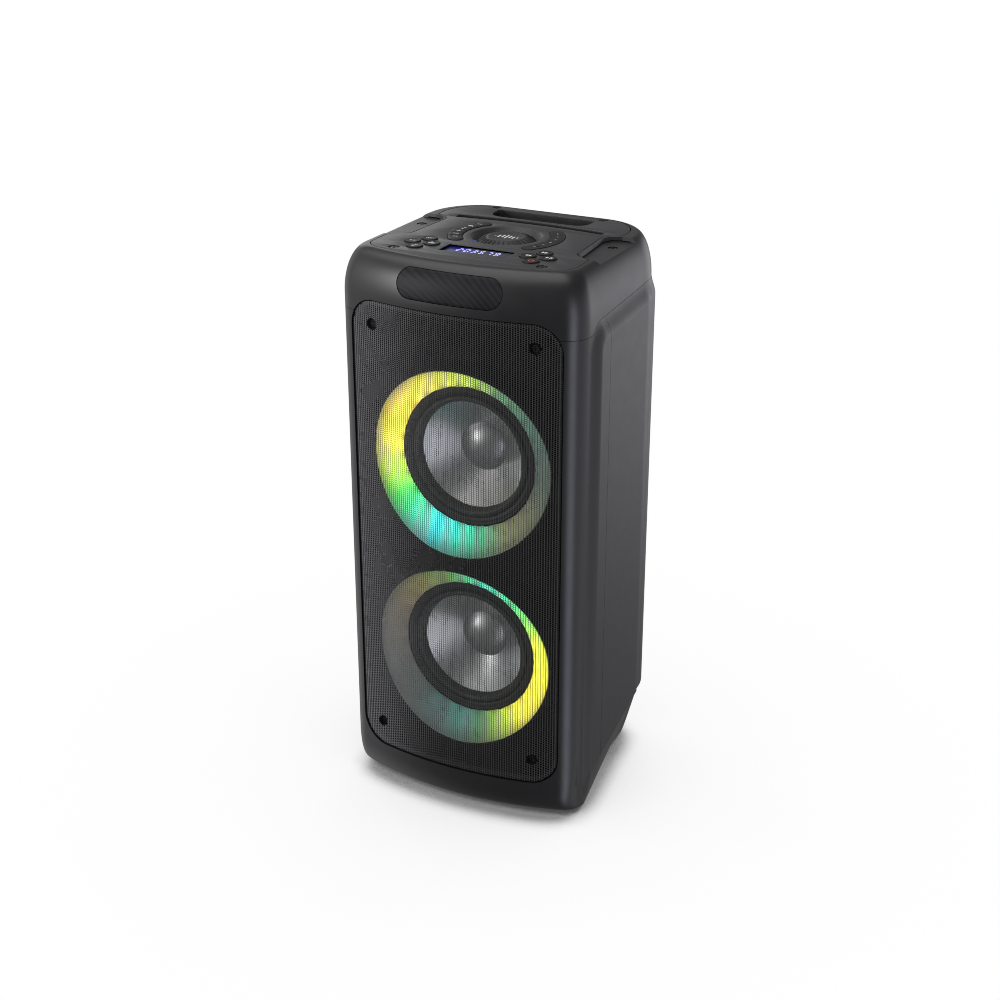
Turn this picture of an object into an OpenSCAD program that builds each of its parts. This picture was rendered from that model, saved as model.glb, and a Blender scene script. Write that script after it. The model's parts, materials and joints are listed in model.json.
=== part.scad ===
// Party speaker: a bowed plastic cabinet with two lit woofers behind a steel grille,
// and a control panel on top. The floor is z = 0 and the front faces -Y.
// A "d" value is a depth in mm behind the foremost point of the front.

/* [Cabinet] */
// Height of the control panel above the floor
height = 600; // [598:1:604]
// Depth of the cabinet, from the foremost point to the back
depth = 250; // [248:1:256]
// Half of the width over the raised side panels
side_half = 138; // [137.5:0.5:140]
// Half of the width of the front and of the top cap
front_half = 133; // [132:0.5:134]
// Radius of the bowed front, seen from above
bow_r = 373; // [365:1:380]
// Radius of the front's upright corners
front_corner_r = 25; // [22:1:28]
// Radius of the back's upright corners
rear_corner_r = 70; // [66:1:74]
// Thickness of the housings' walls
wall = 3.5; // [3:0.5:4]
// Height of the feet
foot_h = 9; // [8:1:11]

/* [Top] */
// How far the cap's front edge rolls back
roll_front = 23.5; // [22:0.5:23.5]
// How far the cap's side edges roll in
roll_side = 21; // [19:1:22]
// Height of the rolled edge
roll_h = 47; // [44:1:49]
// Depth of the centre of the dial
dial_d = 132; // [130:1:134]
// Radius of the recess around the dial
dial_recess_r = 36.5; // [35:0.5:37]
// Travel of a button or key
key_travel = 1.2; // [0.8:0.1:1.4]
// Width of the groove that holds a phone or tablet
groove_w = 11; // [9:1:12]

/* [Front] */
// Half of the width of the grille
grille_half = 116.6; // [115:0.2:117]
// Height of the grille's lower edge
grille_low = 47.6; // [47:0.2:50]
// Height of the grille's upper edge
grille_high = 553; // [551:0.5:554]
// Height of the centre of the upper woofer
upper_z = 390; // [388:1:392]
// Height of the centre of the lower woofer
lower_z = 172; // [171:1:174]
// Outer radius of a light ring
ring_r = 100; // [98:1:101]
// Radius of a woofer's cone
cone_r = 57.4; // [56:0.2:58]
// Travel of a cone each way
cone_travel = 4; // [2:0.5:5]

/* [Back] */
// Inner radius of the bass port
port_r = 27; // [24:1:28]
// Height of the bass port
port_z = 165; // [160:1:170]
// Radius of a jack's bore
jack_r = 3.2; // [3.18:0.01:3.25]
// Depth of a jack's bore
jack_depth = 30; // [26:1:32]

/* [Hidden] */
$fn = 96;
front_y = -depth / 2;
axis_y = front_y + bow_r;
cap_rear_r = rear_corner_r - 4;
cap_depth = depth - 3;
cap_wall = 3;
roll_rear = 6;
roll_rear_h = 24;
cap_seam_front = 538;
cap_seam_side = 551;
cap_step_d = 50;
band_d = 57;
housing_split_d = 78;
seam_gap = 0.2;
slope_low = 538;
taper_high = 90;
bottom_roll = 15;
bottom_roll_h = 30;
panel_t = 4;
panel_gap = 0.3;
panel_front_d = 24.3;
panel_corner_r = 20;
panel_half = 111.7;
pocket_depth = 4;
pocket_floor_t = 4;
dial_recess_h = 8;
button_r = 8.2;
button_gap = 0.4;
button_drop = 9;
switch_clearance = 0.5;
cluster_x = 64;
cluster_d = 72;
cluster_dx = 11;
cluster_dd = 15.5;
crescent_low = 44;
crescent_high = 60;
crescent_turn = 38;
key_gap = 0.35;
keys_per_side = 6;
board_z = 580;
board_t = 1.6;
display_half = 36.4;
display_low_d = 55;
display_high_d = 79;
handle_half = 56;
handle_low_d = 200;
handle_high_d = 229;
handle_depth = 46;
baffle_d = 48;
baffle_t = 6;
flange_d = 45;
basket_back_d = 95;
magnet_d = 98;
magnet_t = 24;
rear_panel_half = 62;
rear_panel_low = 310;
rear_panel_high = 450;
screw_head_r = 4;
screw_hole_r = 2.1;
cup_r = 5.2;
cup_depth = 2.5;
panel_screws = [[80.9, 44.7], [62.2, 234.3]];
pocket_screw = [108.5, 151];
grille_screws = [for (x = [-89.1, 89.1], z = [75.5, 528.4]) [x, z]];
rear_screws = [for (x = [-55, 55], z = [rear_panel_low + 8, rear_panel_high - 8]) [x, z]];
window_half = 57.4;
window_r = 14;
window_z = 578.5;
tweeter_z = 523.5;
ring_trim_d = 16.6;
coil_gap_low = magnet_d + magnet_t - 5;
jack_x = 24;
jack_z = 424;
jack_face_d = depth + 0.4;
usb_z = 386;
inlet_z = 335;

// ---- outlines -------------------------------------------------------------

// Points along an arc; first = 1 leaves out the point that the stretch before it ends on.
function arc(cx, cy, r, a0, a1, n, first = 0) =
    [for (i = [first:n]) [cx + r * cos(a0 + (a1 - a0) * i / n), cy + r * sin(a0 + (a1 - a0) * i / n)]];
function mirrored(half) = concat(half, [for (i = [len(half) - 1:-1:0]) [-half[i][0], half[i][1]]]);

// Right half of the cabinet seen from above, from the middle of the front to the back.
function plan_half(inset, side, rear_r, rear_d) =
    let (cx = front_half - front_corner_r)
    let (reach = bow_r - front_corner_r)
    let (cy = axis_y - sqrt(reach * reach - cx * cx))
    let (turn = asin(cx / reach))
    concat(
        arc(0, axis_y, bow_r - inset, -90 + turn / 15, -90 + turn, 7),
        arc(cx, cy, front_corner_r - inset, -90 + turn, 0, 5, 1),
        side > front_half ? [[side - inset, front_y + band_d]] : [],
        arc(side - rear_r, front_y + rear_d - rear_r, rear_r - inset, 0, 90, 9)
    );

// Quarter of an ellipse that rolls a top edge in by w and down by h.
function roll(edge, w, h, inset, n) =
    [for (i = [0:n]) [edge - w + (w - inset) * cos(90 * i / n), height - h + (h - inset) * sin(90 * i / n)]];

// Rounded rectangle between two corners.
function rounded(x0, y0, x1, y1, r, n) = concat(
    arc(x1 - r, y1 - r, r, 0, 90, n),
    arc(x0 + r, y1 - r, r, 90, 180, n),
    arc(x0 + r, y0 + r, r, 180, 270, n),
    arc(x1 - r, y0 + r, r, 270, 360, n)
);

// Right half of the control panel's outline, with the notch of the side pocket.
function panel_half_points(grow) =
    let (r = bow_r - panel_front_d)
    let (cx = panel_half - panel_corner_r)
    let (reach = r - panel_corner_r)
    let (cy = axis_y - sqrt(reach * reach - cx * cx))
    let (turn = asin(cx / reach))
    concat(
        arc(0, axis_y, r + grow, -90 + turn / 11, -90 + turn, 5),
        arc(cx, cy, panel_corner_r + grow, -90 + turn, 0, 5, 1),
        [
            [panel_half + grow, front_y + 84 + grow],
            [92 + grow, front_y + 99 + grow],
            [88 + grow, front_y + 168 - grow],
            [94 + grow / 2, front_y + 178 - grow],
            [105 + grow, front_y + 182 - grow]
        ],
        arc(60, front_y + 195, 45 + grow, 0, 90, 6)
    );

// Crescent-shaped slot of the keys on the right of the dial, centred on the dial.
function crescent(gap) =
    let (mid = (crescent_low + crescent_high) / 2)
    let (half = (crescent_high - crescent_low) / 2 - gap)
    let (turn = crescent_turn)
    concat(
        arc(0, 0, crescent_high - gap, -turn, turn, 12, 1),
        arc(mid * cos(turn), mid * sin(turn), half, turn, turn + 180, 6, 1),
        arc(0, 0, crescent_low + gap, turn, -turn, 10, 1),
        arc(mid * cos(turn), -mid * sin(turn), half, 180 - turn, 360 - turn, 6, 1)
    );

// Pill shape in the front's plane.
function pill(half_w, half_h, z) = concat(
    arc(half_w - half_h, z, half_h, -90, 90, 8),
    arc(half_h - half_w, z, half_h, 90, 270, 8)
);

// ---- placing --------------------------------------------------------------

// Extrudes an (x, z) outline through the cabinet between two depths.
module front_prism(d0, d1) {
    translate([0, front_y + d1, 0]) rotate([90, 0, 0]) linear_extrude(d1 - d0) children();
}

// Extrudes a (y, z) outline across the cabinet.
module side_prism(half) {
    translate([-half, 0, 0]) rotate([90, 0, 90]) linear_extrude(2 * half) children();
}

// Revolves a (radius, z) outline about the axis of the bowed front.
module bowed() {
    translate([0, axis_y, 0]) rotate_extrude($fn = 180) children();
}

// Revolves a (radius, depth) outline about a woofer's axis.
module turned(z) {
    translate([0, front_y, z]) rotate([-90, 0, 0]) rotate_extrude() children();
}

// Straight cylinder along the depth.
module rod(x, z, d0, d1, r) {
    translate([x, front_y + d0, z]) rotate([-90, 0, 0]) cylinder(r = r, h = d1 - d0);
}

// Box given by depths.
module block(x0, x1, d0, d1, z0, z1) {
    translate([x0, front_y + d0, z0]) cube([x1 - x0, d1 - d0, z1 - z0]);
}

// Both mirror images of a shape about the middle plane.
module both() {
    children();
    mirror([1, 0, 0]) children();
}

// ---- solids the shells are cut from ---------------------------------------

module cap_solid(inset, low) {
    intersection() {
        translate([0, 0, low])
            linear_extrude(height - inset - low)
            polygon(mirrored(plan_half(inset, front_half, cap_rear_r, cap_depth)));
        bowed() polygon(concat(
            [[0, low - 1], [bow_r - inset, low - 1]],
            roll(bow_r, roll_front, roll_h, inset, 8),
            [[0, height - inset]]
        ));
        front_prism(-5, depth + 5) polygon(mirrored(concat(
            [[front_half - inset, low - 1]],
            roll(front_half, roll_side, roll_h, inset, 8)
        )));
        side_prism(side_half + 5) polygon(concat(
            [[front_y - 5, low - 1], [front_y + cap_depth - inset, low - 1]],
            roll(front_y + cap_depth, roll_rear, roll_rear_h, inset, 5),
            [[front_y - 5, height - inset]]
        ));
    }
}

module body_solid(inset) {
    low = foot_h + inset;
    intersection() {
        translate([0, 0, low])
            linear_extrude(cap_seam_side - low)
            polygon(mirrored(plan_half(inset, side_half, rear_corner_r, depth)));
        front_prism(-5, depth + 5) polygon(mirrored([
            [side_half - inset, 0],
            [side_half - inset, slope_low],
            [front_half + 0.4 - inset, cap_seam_side]
        ]));
        side_prism(side_half + 5) polygon([
            [front_y + bottom_roll, 0],
            [front_y + depth - inset, 0],
            [front_y + depth - inset, slope_low],
            [front_y + cap_depth + 0.4 - inset, cap_seam_side],
            [front_y - 5, cap_seam_side],
            [front_y - 5, foot_h + bottom_roll_h],
            for (i = [1:5]) [
                front_y + bottom_roll - (bottom_roll - inset) * cos(18 * i),
                foot_h + bottom_roll_h - (bottom_roll_h - inset) * sin(18 * i)
            ]
        ]);
        hull() {
            translate([0, 0, taper_high])
                linear_extrude(height - taper_high)
                polygon(mirrored([
                    [side_half - inset + 0.5, front_y - 20],
                    [side_half - inset + 0.5, front_y + depth + 20]
                ]));
            translate([0, 0, low])
                linear_extrude(0.5)
                polygon(mirrored([
                    [136 - inset, front_y - 20],
                    [129 - inset, front_y + 65],
                    [112 - inset, front_y + 181],
                    [98 - inset, front_y + 232 - inset],
                    [80, front_y + 240 - inset]
                ]));
        }
    }
}

module grille_outline(grow) {
    polygon(rounded(
        -grille_half - grow, grille_low - grow, grille_half + grow, grille_high + grow, 30 + grow, 6
    ));
}

// Bowed sheet between two depths behind the front's surface.
module bowed_sheet(d0, d1) {
    bowed() polygon([[bow_r - d1, 0], [bow_r - d0, 0], [bow_r - d0, height], [bow_r - d1, height]]);
}

// Everything behind the front's bow, moved back by d.
module bowed_core(d) {
    bowed() polygon([[0, 0], [bow_r - d, 0], [bow_r - d, height], [0, height]]);
}

module panel_prism(z0, z1, grow) {
    translate([0, 0, z0]) linear_extrude(z1 - z0) polygon(mirrored(panel_half_points(grow)));
}

// ---- cabinet --------------------------------------------------------------

module front_housing() {
    color([0.10, 0.10, 0.11]) {
        difference() {
            body_solid(0);
            body_solid(wall);
            block(-150, 150, housing_split_d, depth + 5, 0, height);
            block(-150, 150, -5, cap_step_d, cap_seam_front, height);
            front_prism(-5, 30) grille_outline(0.8);
            translate([0, 0, cap_seam_side - 10]) linear_extrude(20)
                polygon(mirrored(plan_half(wall + 1, front_half, cap_rear_r, cap_depth)));
        }
        intersection() {
            difference() {
                bowed_sheet(3.2, 6.5);
                front_prism(-5, 40) grille_outline(-5);
            }
            front_prism(-5, 40) grille_outline(4);
            block(-150, 150, -5, 60, 0, cap_seam_front);
        }
    }
}

module rear_housing() {
    color([0.11, 0.11, 0.12])
    difference() {
        body_solid(0);
        body_solid(wall);
        block(-150, 150, -5, housing_split_d + seam_gap, 0, height);
        translate([0, 0, cap_seam_side - 10]) linear_extrude(20)
            polygon(mirrored(plan_half(wall + 1, front_half, cap_rear_r, cap_depth)));
        block(-rear_panel_half - 0.4, rear_panel_half + 0.4, depth - 10, depth + 5,
            rear_panel_low - 0.4, rear_panel_high + 0.4);
        rod(0, port_z, depth - 10, depth + 5, port_r + 9.4);
    }
}

module top_cap() {
    color([0.12, 0.12, 0.13])
    difference() {
        union() {
            difference() {
                cap_solid(0, cap_seam_front + seam_gap);
                cap_solid(cap_wall, cap_seam_front - 5);
            }
            intersection() {
                cap_solid(0.5, cap_seam_front + seam_gap);
                both() block(87, 150, 80, 186, height - pocket_depth - pocket_floor_t, height - pocket_depth);
            }
        }
        block(-150, 150, cap_step_d - 0.1, depth + 5, 0, cap_seam_side + seam_gap);
        panel_prism(height - panel_t - 0.2, height + 5, panel_gap);
        intersection() {
            both() block(80, 150, 84, 182, height - pocket_depth, height + 5);
            panel_free_area();
        }
        front_prism(-5, 30) polygon(pill(window_half, window_r, window_z));
        front_prism(-5, 30) grille_outline(0.8);
        at_pocket_screws() translate([0, 0, -cup_depth]) cylinder(r = cup_r, h = 10);
        at_pocket_screws() translate([0, 0, -16]) cylinder(r = screw_hole_r, h = 20);
    }
}

// What lies outside the panel between the pocket's slanted ends.
module panel_free_area() {
    translate([0, 0, height - 20]) linear_extrude(40) polygon(mirrored([
        [80, front_y + 99],
        [92, front_y + 99],
        [118, front_y + 84],
        [150, front_y + 84],
        [150, front_y + 182],
        [105, front_y + 182],
        [80, front_y + 178]
    ]));
}

module control_panel() {
    color([0.16, 0.16, 0.17])
    difference() {
        union() {
            panel_prism(height - panel_t, height, 0);
            translate([0, front_y + dial_d, height - dial_recess_h - 2.5])
                cylinder(r = dial_recess_r + 3, h = dial_recess_h);
            intersection() {
                block(-86, 86, 176, 199.2, height - 16, height - 1);
                groove_band(groove_w / 2 + 2);
            }
        }
        translate([0, front_y + dial_d, height - dial_recess_h])
            cylinder(r1 = 33, r2 = dial_recess_r + 0.5, h = dial_recess_h + 1);
        translate([0, front_y + dial_d, height - 20]) cylinder(r = 5.5, h = 20);
        intersection() {
            block(-84, 84, 176, 199, height - 13.5, height + 5);
            groove_band(groove_w / 2);
        }
        at_buttons() cylinder(r = button_r + button_gap, h = 30, center = true);
        both() translate([0, front_y + dial_d, height - 10]) linear_extrude(20) polygon(crescent(0));
        block(-display_half, display_half, display_low_d, display_high_d, height - 10, height + 5);
        block(-handle_half, handle_half, handle_low_d, handle_high_d, height - 10, height + 5);
        at_panel_screws() cylinder(r = screw_hole_r, h = 30, center = true);
        at_panel_screws() translate([0, 0, -cup_depth]) cylinder(r = cup_r, h = 10);
    }
}

// The curved groove follows an arc that bows towards the back.
module groove_band(half) {
    groove_r = 590;
    translate([0, front_y + 190.5 - groove_r, height - 20])
    difference() {
        cylinder(r = groove_r + half, h = 40, $fn = 200);
        translate([0, 0, -1]) cylinder(r = groove_r - half, h = 42, $fn = 200);
    }
}

module at_panel_screws() {
    for (p = panel_screws) both() translate([p[0], front_y + p[1], height]) children();
}

module at_pocket_screws() {
    both() translate([pocket_screw[0], front_y + pocket_screw[1], height - pocket_depth]) children();
}

module at_buttons() {
    both() {
        translate([cluster_x, front_y + cluster_d - cluster_dd, height]) children();
        translate([cluster_x, front_y + cluster_d + cluster_dd, height]) children();
        translate([cluster_x - cluster_dx, front_y + cluster_d, height]) children();
        translate([cluster_x + cluster_dx, front_y + cluster_d, height]) children();
    }
}

// Deep cup with room behind the panel's edge, where the fingers pull.
module handle_cup() {
    high = height - panel_t;
    low = high - handle_depth;
    color([0.08, 0.08, 0.09])
    difference() {
        block(-handle_half - 3, handle_half + 3, handle_low_d - 0.4, 240, low, high);
        block(-handle_half, handle_half, handle_low_d + 2.6, handle_high_d, low + 3, height);
        block(-handle_half, handle_half, handle_low_d + 2.6, 237.5, low + 3, high - 20);
        at_panel_screws() cylinder(r = screw_hole_r, h = 40, center = true);
    }
}

module baffle() {
    color([0.07, 0.07, 0.08])
    difference() {
        union() {
            front_prism(baffle_d, baffle_d + baffle_t) polygon(rounded(-125, 26, 125, 532, 20, 5));
            for (z = [upper_z, lower_z])
                intersection() {
                    turned(z) polygon([
                        [ring_r + 0.4, 10],
                        [ring_r + 3, 10],
                        [ring_r + 3, baffle_d + 1],
                        [ring_r + 0.4, baffle_d + 1]
                    ]);
                    bowed_core(ring_trim_d - 0.6);
                }
            for (p = grille_screws) rod(p[0], p[1], 17.8, baffle_d + 1, 5);
        }
        for (z = [upper_z, lower_z]) rod(0, z, baffle_d - 3, baffle_d + 20, 70);
        rod(0, tweeter_z, baffle_d - 5, baffle_d + 20, 13);
        for (p = grille_screws) rod(p[0], p[1], 10, 32, 1.7);
    }
}

module grille() {
    color([0.05, 0.05, 0.05])
    difference() {
        union() {
            intersection() {
                bowed_sheet(1.4, 2.6);
                front_prism(-5, 40) grille_outline(0);
            }
            intersection() {
                difference() {
                    bowed_sheet(1.4, 3);
                    front_prism(-5, 40) grille_outline(-1.5);
                }
                front_prism(-5, 40) grille_outline(0);
            }
            for (p = grille_screws) rod(p[0], p[1], 13, 17.5, 6.5);
        }
        for (p = grille_screws) rod(p[0], p[1], 5, 16.3, 5.5);
        for (p = grille_screws) rod(p[0], p[1], 5, 20, 2.2);
    }
}

module screw(head_h, length) {
    difference() {
        cylinder(r = screw_head_r, h = head_h);
        for (a = [0, 90]) rotate([0, 0, a]) translate([-2.4, -0.5, head_h - 1]) cube([4.8, 1, 2]);
    }
    translate([0, 0, -length]) cylinder(r = 1.6, h = length + 0.5);
}

module screws() {
    color([0.25, 0.25, 0.27]) {
        at_panel_screws() translate([0, 0, -cup_depth]) screw(1.8, 9);
        at_pocket_screws() translate([0, 0, -cup_depth]) screw(1.8, 9);
        for (p = grille_screws) translate([p[0], front_y + 16.3, p[1]]) rotate([90, 0, 0]) screw(2, 12);
        for (p = rear_screws) translate([p[0], front_y + 248.4, p[1]]) rotate([-90, 0, 0]) screw(1.6, 9);
    }
}

module feet() {
    color([0.05, 0.05, 0.05])
    for (x = [-88, 88], d = [52, 196])
        translate([x, front_y + d, 0]) rotate_extrude() polygon([
            [0, 0],
            [13, 0],
            [15, 2],
            [15, foot_h],
            [0, foot_h]
        ]);
}

// ---- drivers and lights ---------------------------------------------------

module basket(z) {
    color([0.06, 0.06, 0.06])
    difference() {
        turned(z) polygon([
            [66, flange_d],
            [79, flange_d],
            [79, baffle_d - 0.2],
            [68.5, baffle_d - 0.2],
            [46, basket_back_d + 2.8],
            [20, basket_back_d + 2.8],
            [20, basket_back_d],
            [43.5, basket_back_d],
            [66, baffle_d + 2]
        ]);
        for (a = [30:60:330])
            translate([0, front_y, z]) rotate([0, a, 0])
                translate([46, 58, -13]) cube([30, 30, 26]);
        for (a = [0:60:300])
            translate([0, front_y, z]) rotate([0, a, 0])
                translate([73.5, flange_d - 1, 0]) rotate([-90, 0, 0]) cylinder(r = 2.1, h = 6);
    }
}

module magnet(z) {
    color([0.30, 0.30, 0.32]) {
        turned(z) polygon([
            [17.3, magnet_d],
            [45, magnet_d],
            [45, magnet_d + magnet_t],
            [0, magnet_d + magnet_t],
            [0, magnet_d - 4],
            [14.9, magnet_d - 4],
            [14.9, coil_gap_low],
            [17.3, coil_gap_low]
        ]);
    }
}

// Cone with its dust cap: one glued part that moves as one.
module cone(z) {
    color([0.55, 0.56, 0.60])
    turned(z) polygon(concat(
        [
            [cone_r, 52],
            [cone_r, 53.4],
            [27, 80],
            [17.2, 88],
            [15.2, 88],
            [15.2, 87],
            [25.6, 78.6]
        ],
        [for (i = [1:7]) [25.6 * cos(11.25 * i), 78.6 - 10 * sin(11.25 * i)]],
        [[0, 68.6], [0, 67.6]],
        [for (i = [7:-1:3]) [26.4 * cos(11.25 * i), 77.6 - 10 * sin(11.25 * i)]]
    ));
}

module voice_coil(z) {
    color([0.60, 0.35, 0.15])
    turned(z) polygon([
        [15.6, 88.2],
        [16.6, 88.2],
        [16.6, coil_gap_low - cone_travel - 2],
        [15.6, coil_gap_low - cone_travel - 2]
    ]);
}

module surround(z) {
    color([0.04, 0.04, 0.04])
    turned(z) polygon(concat(
        [[cone_r + 0.1, 53.4]],
        [for (i = [0:8]) [61.3 - 3.8 * cos(22.5 * i), 49.6 - 4.3 * sin(22.5 * i)]],
        [[65.8, 49], [65.8, 50], [65.1, 50]],
        [for (i = [8:-1:0]) [61.3 - 2.9 * cos(22.5 * i), 50.4 - 4 * sin(22.5 * i)]]
    ));
}

module spider(z) {
    color([0.75, 0.60, 0.30])
    turned(z) polygon([
        [16.8, 91],
        [20, 92.2],
        [24, 90.6],
        [28, 92.2],
        [32, 90.6],
        [36, 92.2],
        [40, 91],
        [43, 91],
        [43, 92],
        [40, 92],
        [36, 93.2],
        [32, 91.6],
        [28, 93.2],
        [24, 91.6],
        [20, 93.2],
        [16.8, 92]
    ]);
}

// Funnel-shaped diffuser, trimmed to the bow of the front.
module light_ring(z) {
    color([0.80, 0.85, 0.60])
    intersection() {
        turned(z) polygon([
            [80.2, 44.5],
            [ring_r, 30.5],
            [ring_r, 10],
            [ring_r - 2, 10],
            [ring_r - 2, 29],
            [76, 44.5]
        ]);
        bowed_core(ring_trim_d);
    }
}

module ring_led_boards() {
    color([0.10, 0.30, 0.15])
    for (z = [upper_z, lower_z])
        turned(z) polygon([[82, 46.2], [99.5, 46.2], [99.5, 47.8], [82, 47.8]]);
}

module strobe_window() {
    color([0.45, 0.45, 0.50])
    intersection() {
        difference() {
            cap_solid(0.6, cap_seam_front);
            cap_solid(cap_wall, cap_seam_front - 5);
        }
        front_prism(-5, 30) polygon(pill(window_half - 0.4, window_r - 0.4, window_z));
    }
}

module strobe_board() {
    color([0.85, 0.85, 0.85]) {
        block(-52, 52, 26, 27.6, window_z - 16, window_z + 14);
        for (x = [-40:20:40]) block(x - 2.5, x + 2.5, 24.4, 26.1, window_z - 3, window_z + 2);
    }
}

module tweeter() {
    color([0.06, 0.06, 0.06])
    turned(tweeter_z) polygon([
        [0, 50],
        [4, 50.6],
        [8, 52.8],
        [9.4, 55.5],
        [12.4, 52],
        [12.4, 54.3],
        [17, 54.3],
        [17, 66],
        [0, 66]
    ]);
}

// ---- controls -------------------------------------------------------------

module volume_dial() {
    floor_z = height - dial_recess_h;
    color([0.13, 0.13, 0.14])
    difference() {
        union() {
            translate([0, front_y + dial_d, 0]) rotate_extrude() polygon([
                [0, floor_z + 0.6],
                [31.2, floor_z + 0.6],
                [31.2, floor_z + 2],
                [23.5, height - 0.6],
                [22, height - 0.4],
                [12, height - 1.4],
                [0, height - 1.8]
            ]);
            translate([0, front_y + dial_d, board_z + 4]) cylinder(r = 3, h = 10);
        }
        for (a = [0:12:348])
            translate([0, front_y + dial_d, 0]) rotate([0, 0, a])
                translate([24.6, -0.35, height - 5]) cube([10, 0.7, 10]);
    }
}

module dial_encoder() {
    color([0.60, 0.60, 0.62])
    difference() {
        union() {
            block(-7, 7, dial_d - 7, dial_d + 7, board_z + board_t, board_z + 7);
            translate([0, front_y + dial_d, board_z + 6]) cylinder(r = 5, h = 5.6);
        }
        translate([0, front_y + dial_d, board_z + 3.5]) cylinder(r = 3.06, h = 20);
    }
}

// Fills the display's opening between two heights, a gap smaller all round.
module display_block(gap, z0, z1) {
    half = display_half - gap;
    block(-half, half, display_low_d + gap, display_high_d - gap, z0, z1);
}

module display_window() {
    color([0.05, 0.05, 0.12])
    display_block(0.3, height - 3.6, height - 1.8);
}

module display_module() {
    color([0.80, 0.80, 0.80])
    display_block(1, board_z + board_t, height - 4.2);
}

module keypad_board() {
    color([0.08, 0.25, 0.12]) {
        difference() {
            block(-86, 86, 46, 170, board_z, board_z + board_t);
            at_panel_screws() cylinder(r = 8, h = 50, center = true);
        }
        at_buttons() switch();
        for (i = [1:keys_per_side]) both() at_key(i) switch();
    }
}

// Push switch that stands on the keypad's board, just under a pressed button.
module switch() {
    low = board_z + board_t - 0.1 - height;
    translate([0, 0, low]) cylinder(r = 2.5, h = -button_drop - key_travel - switch_clearance - low);
}

function key_angle(i) = -crescent_turn + (i - 0.5) * 2 * crescent_turn / keys_per_side;

module at_key(i) {
    mid = (crescent_low + crescent_high) / 2;
    translate([mid * cos(key_angle(i)), front_y + dial_d + mid * sin(key_angle(i)), height]) children();
}

// Round button with a domed top and a flange under the panel.
module round_button(side, dx, dd) {
    color([0.14, 0.14, 0.15])
    translate([side * (cluster_x + dx), front_y + cluster_d + dd, 0]) rotate_extrude() polygon([
        [0, height - button_drop],
        [button_r + 1, height - button_drop],
        [button_r + 1, height - panel_t - 0.3],
        [button_r, height - panel_t - 0.3],
        [button_r, height + 0.4],
        [button_r - 1, height + 1.1],
        [button_r - 4, height + 1.4],
        [0, height + 1.5]
    ]);
}

// One key of a crescent; number 1 is nearest the front.
module crescent_key(side, i) {
    step = 2 * crescent_turn / keys_per_side;
    round_end = 14;
    low = -crescent_turn + (i - 1) * step - (i == 1 ? round_end : 0);
    high = -crescent_turn + i * step + (i == keys_per_side ? round_end : 0);
    lean = 0.35;
    color([0.14, 0.14, 0.15])
    sided(side) translate([0, front_y + dial_d, height - button_drop])
    intersection() {
        linear_extrude(10) polygon(crescent(key_gap));
        linear_extrude(10) polygon([
            [20 * cos(low + lean * 2), 20 * sin(low + lean * 2)],
            [80 * cos(low + lean), 80 * sin(low + lean)],
            [90 * cos((low + high) / 2), 90 * sin((low + high) / 2)],
            [80 * cos(high - lean), 80 * sin(high - lean)],
            [20 * cos(high - lean * 2), 20 * sin(high - lean * 2)]
        ]);
    }
}

// The left side is the right side's mirror image.
module sided(side) {
    if (side > 0) children();
    if (side < 0) mirror([1, 0, 0]) children();
}

// ---- back and electronics -------------------------------------------------

module rear_panel() {
    color([0.06, 0.06, 0.07])
    difference() {
        union() {
            block(-rear_panel_half, rear_panel_half, 246, 248.3, rear_panel_low, rear_panel_high);
            block(-66, 66, 243, 246.2, rear_panel_low - 5, rear_panel_high + 5);
        }
        for (x = [-jack_x, jack_x]) rod(x, jack_z, 240, 252, 6.3);
        block(-9.3, 9.3, 240, 252, usb_z - 5, usb_z + 5);
        block(-13.3, 13.3, 240, 252, inlet_z - 9, inlet_z + 9);
        for (p = rear_screws) rod(p[0], p[1], 240, 252, screw_hole_r);
    }
}

module input_jacks() {
    color([0.30, 0.30, 0.32])
    for (x = [-jack_x, jack_x])
        difference() {
            union() {
                rod(x, jack_z, 234, 249.6, 6);
                rod(x, jack_z, 248.5, jack_face_d, 9);
                block(x - 8, x + 8, 214, 242.6, jack_z - 9, jack_z + 9);
            }
            rod(x, jack_z, jack_face_d - jack_depth, 252, jack_r);
        }
}

module usb_socket() {
    color([0.70, 0.70, 0.72])
    difference() {
        block(-7.5, 7.5, 232, 248.6, usb_z - 4, usb_z + 4);
        block(-6.6, 6.6, 234, 252, usb_z - 3, usb_z + 3);
    }
}

module power_inlet() {
    color([0.05, 0.05, 0.05])
    difference() {
        block(-13, 13, 226, 248.6, inlet_z - 8.7, inlet_z + 8.7);
        block(-10, 10, 233, 252, inlet_z - 6, inlet_z + 6);
    }
}

module port_tube() {
    color([0.05, 0.05, 0.05])
    turned(port_z) polygon([
        [port_r, 160],
        [port_r + 3, 160],
        [port_r + 3, 245],
        [port_r + 9, 247],
        [port_r + 9, 251],
        [port_r + 6, 251],
        [port_r, 241]
    ]);
}

module amplifier_board() {
    color([0.08, 0.30, 0.12]) {
        block(-64, 64, 208, 209.6, 318, 444);
        block(-50, -10, 190, 208.1, 350, 400);
        block(14, 50, 196, 208.1, 340, 370);
    }
}

module battery_pack() {
    color([0.20, 0.30, 0.55])
    block(-75, 75, 138, 205, 16, 76);
}

module power_supply() {
    color([0.70, 0.70, 0.65]) {
        block(-55, 55, 176, 226, 226, 228);
        block(-45, -5, 180, 222, 227.9, 262);
        block(8, 40, 184, 218, 227.9, 256);
    }
}

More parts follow.
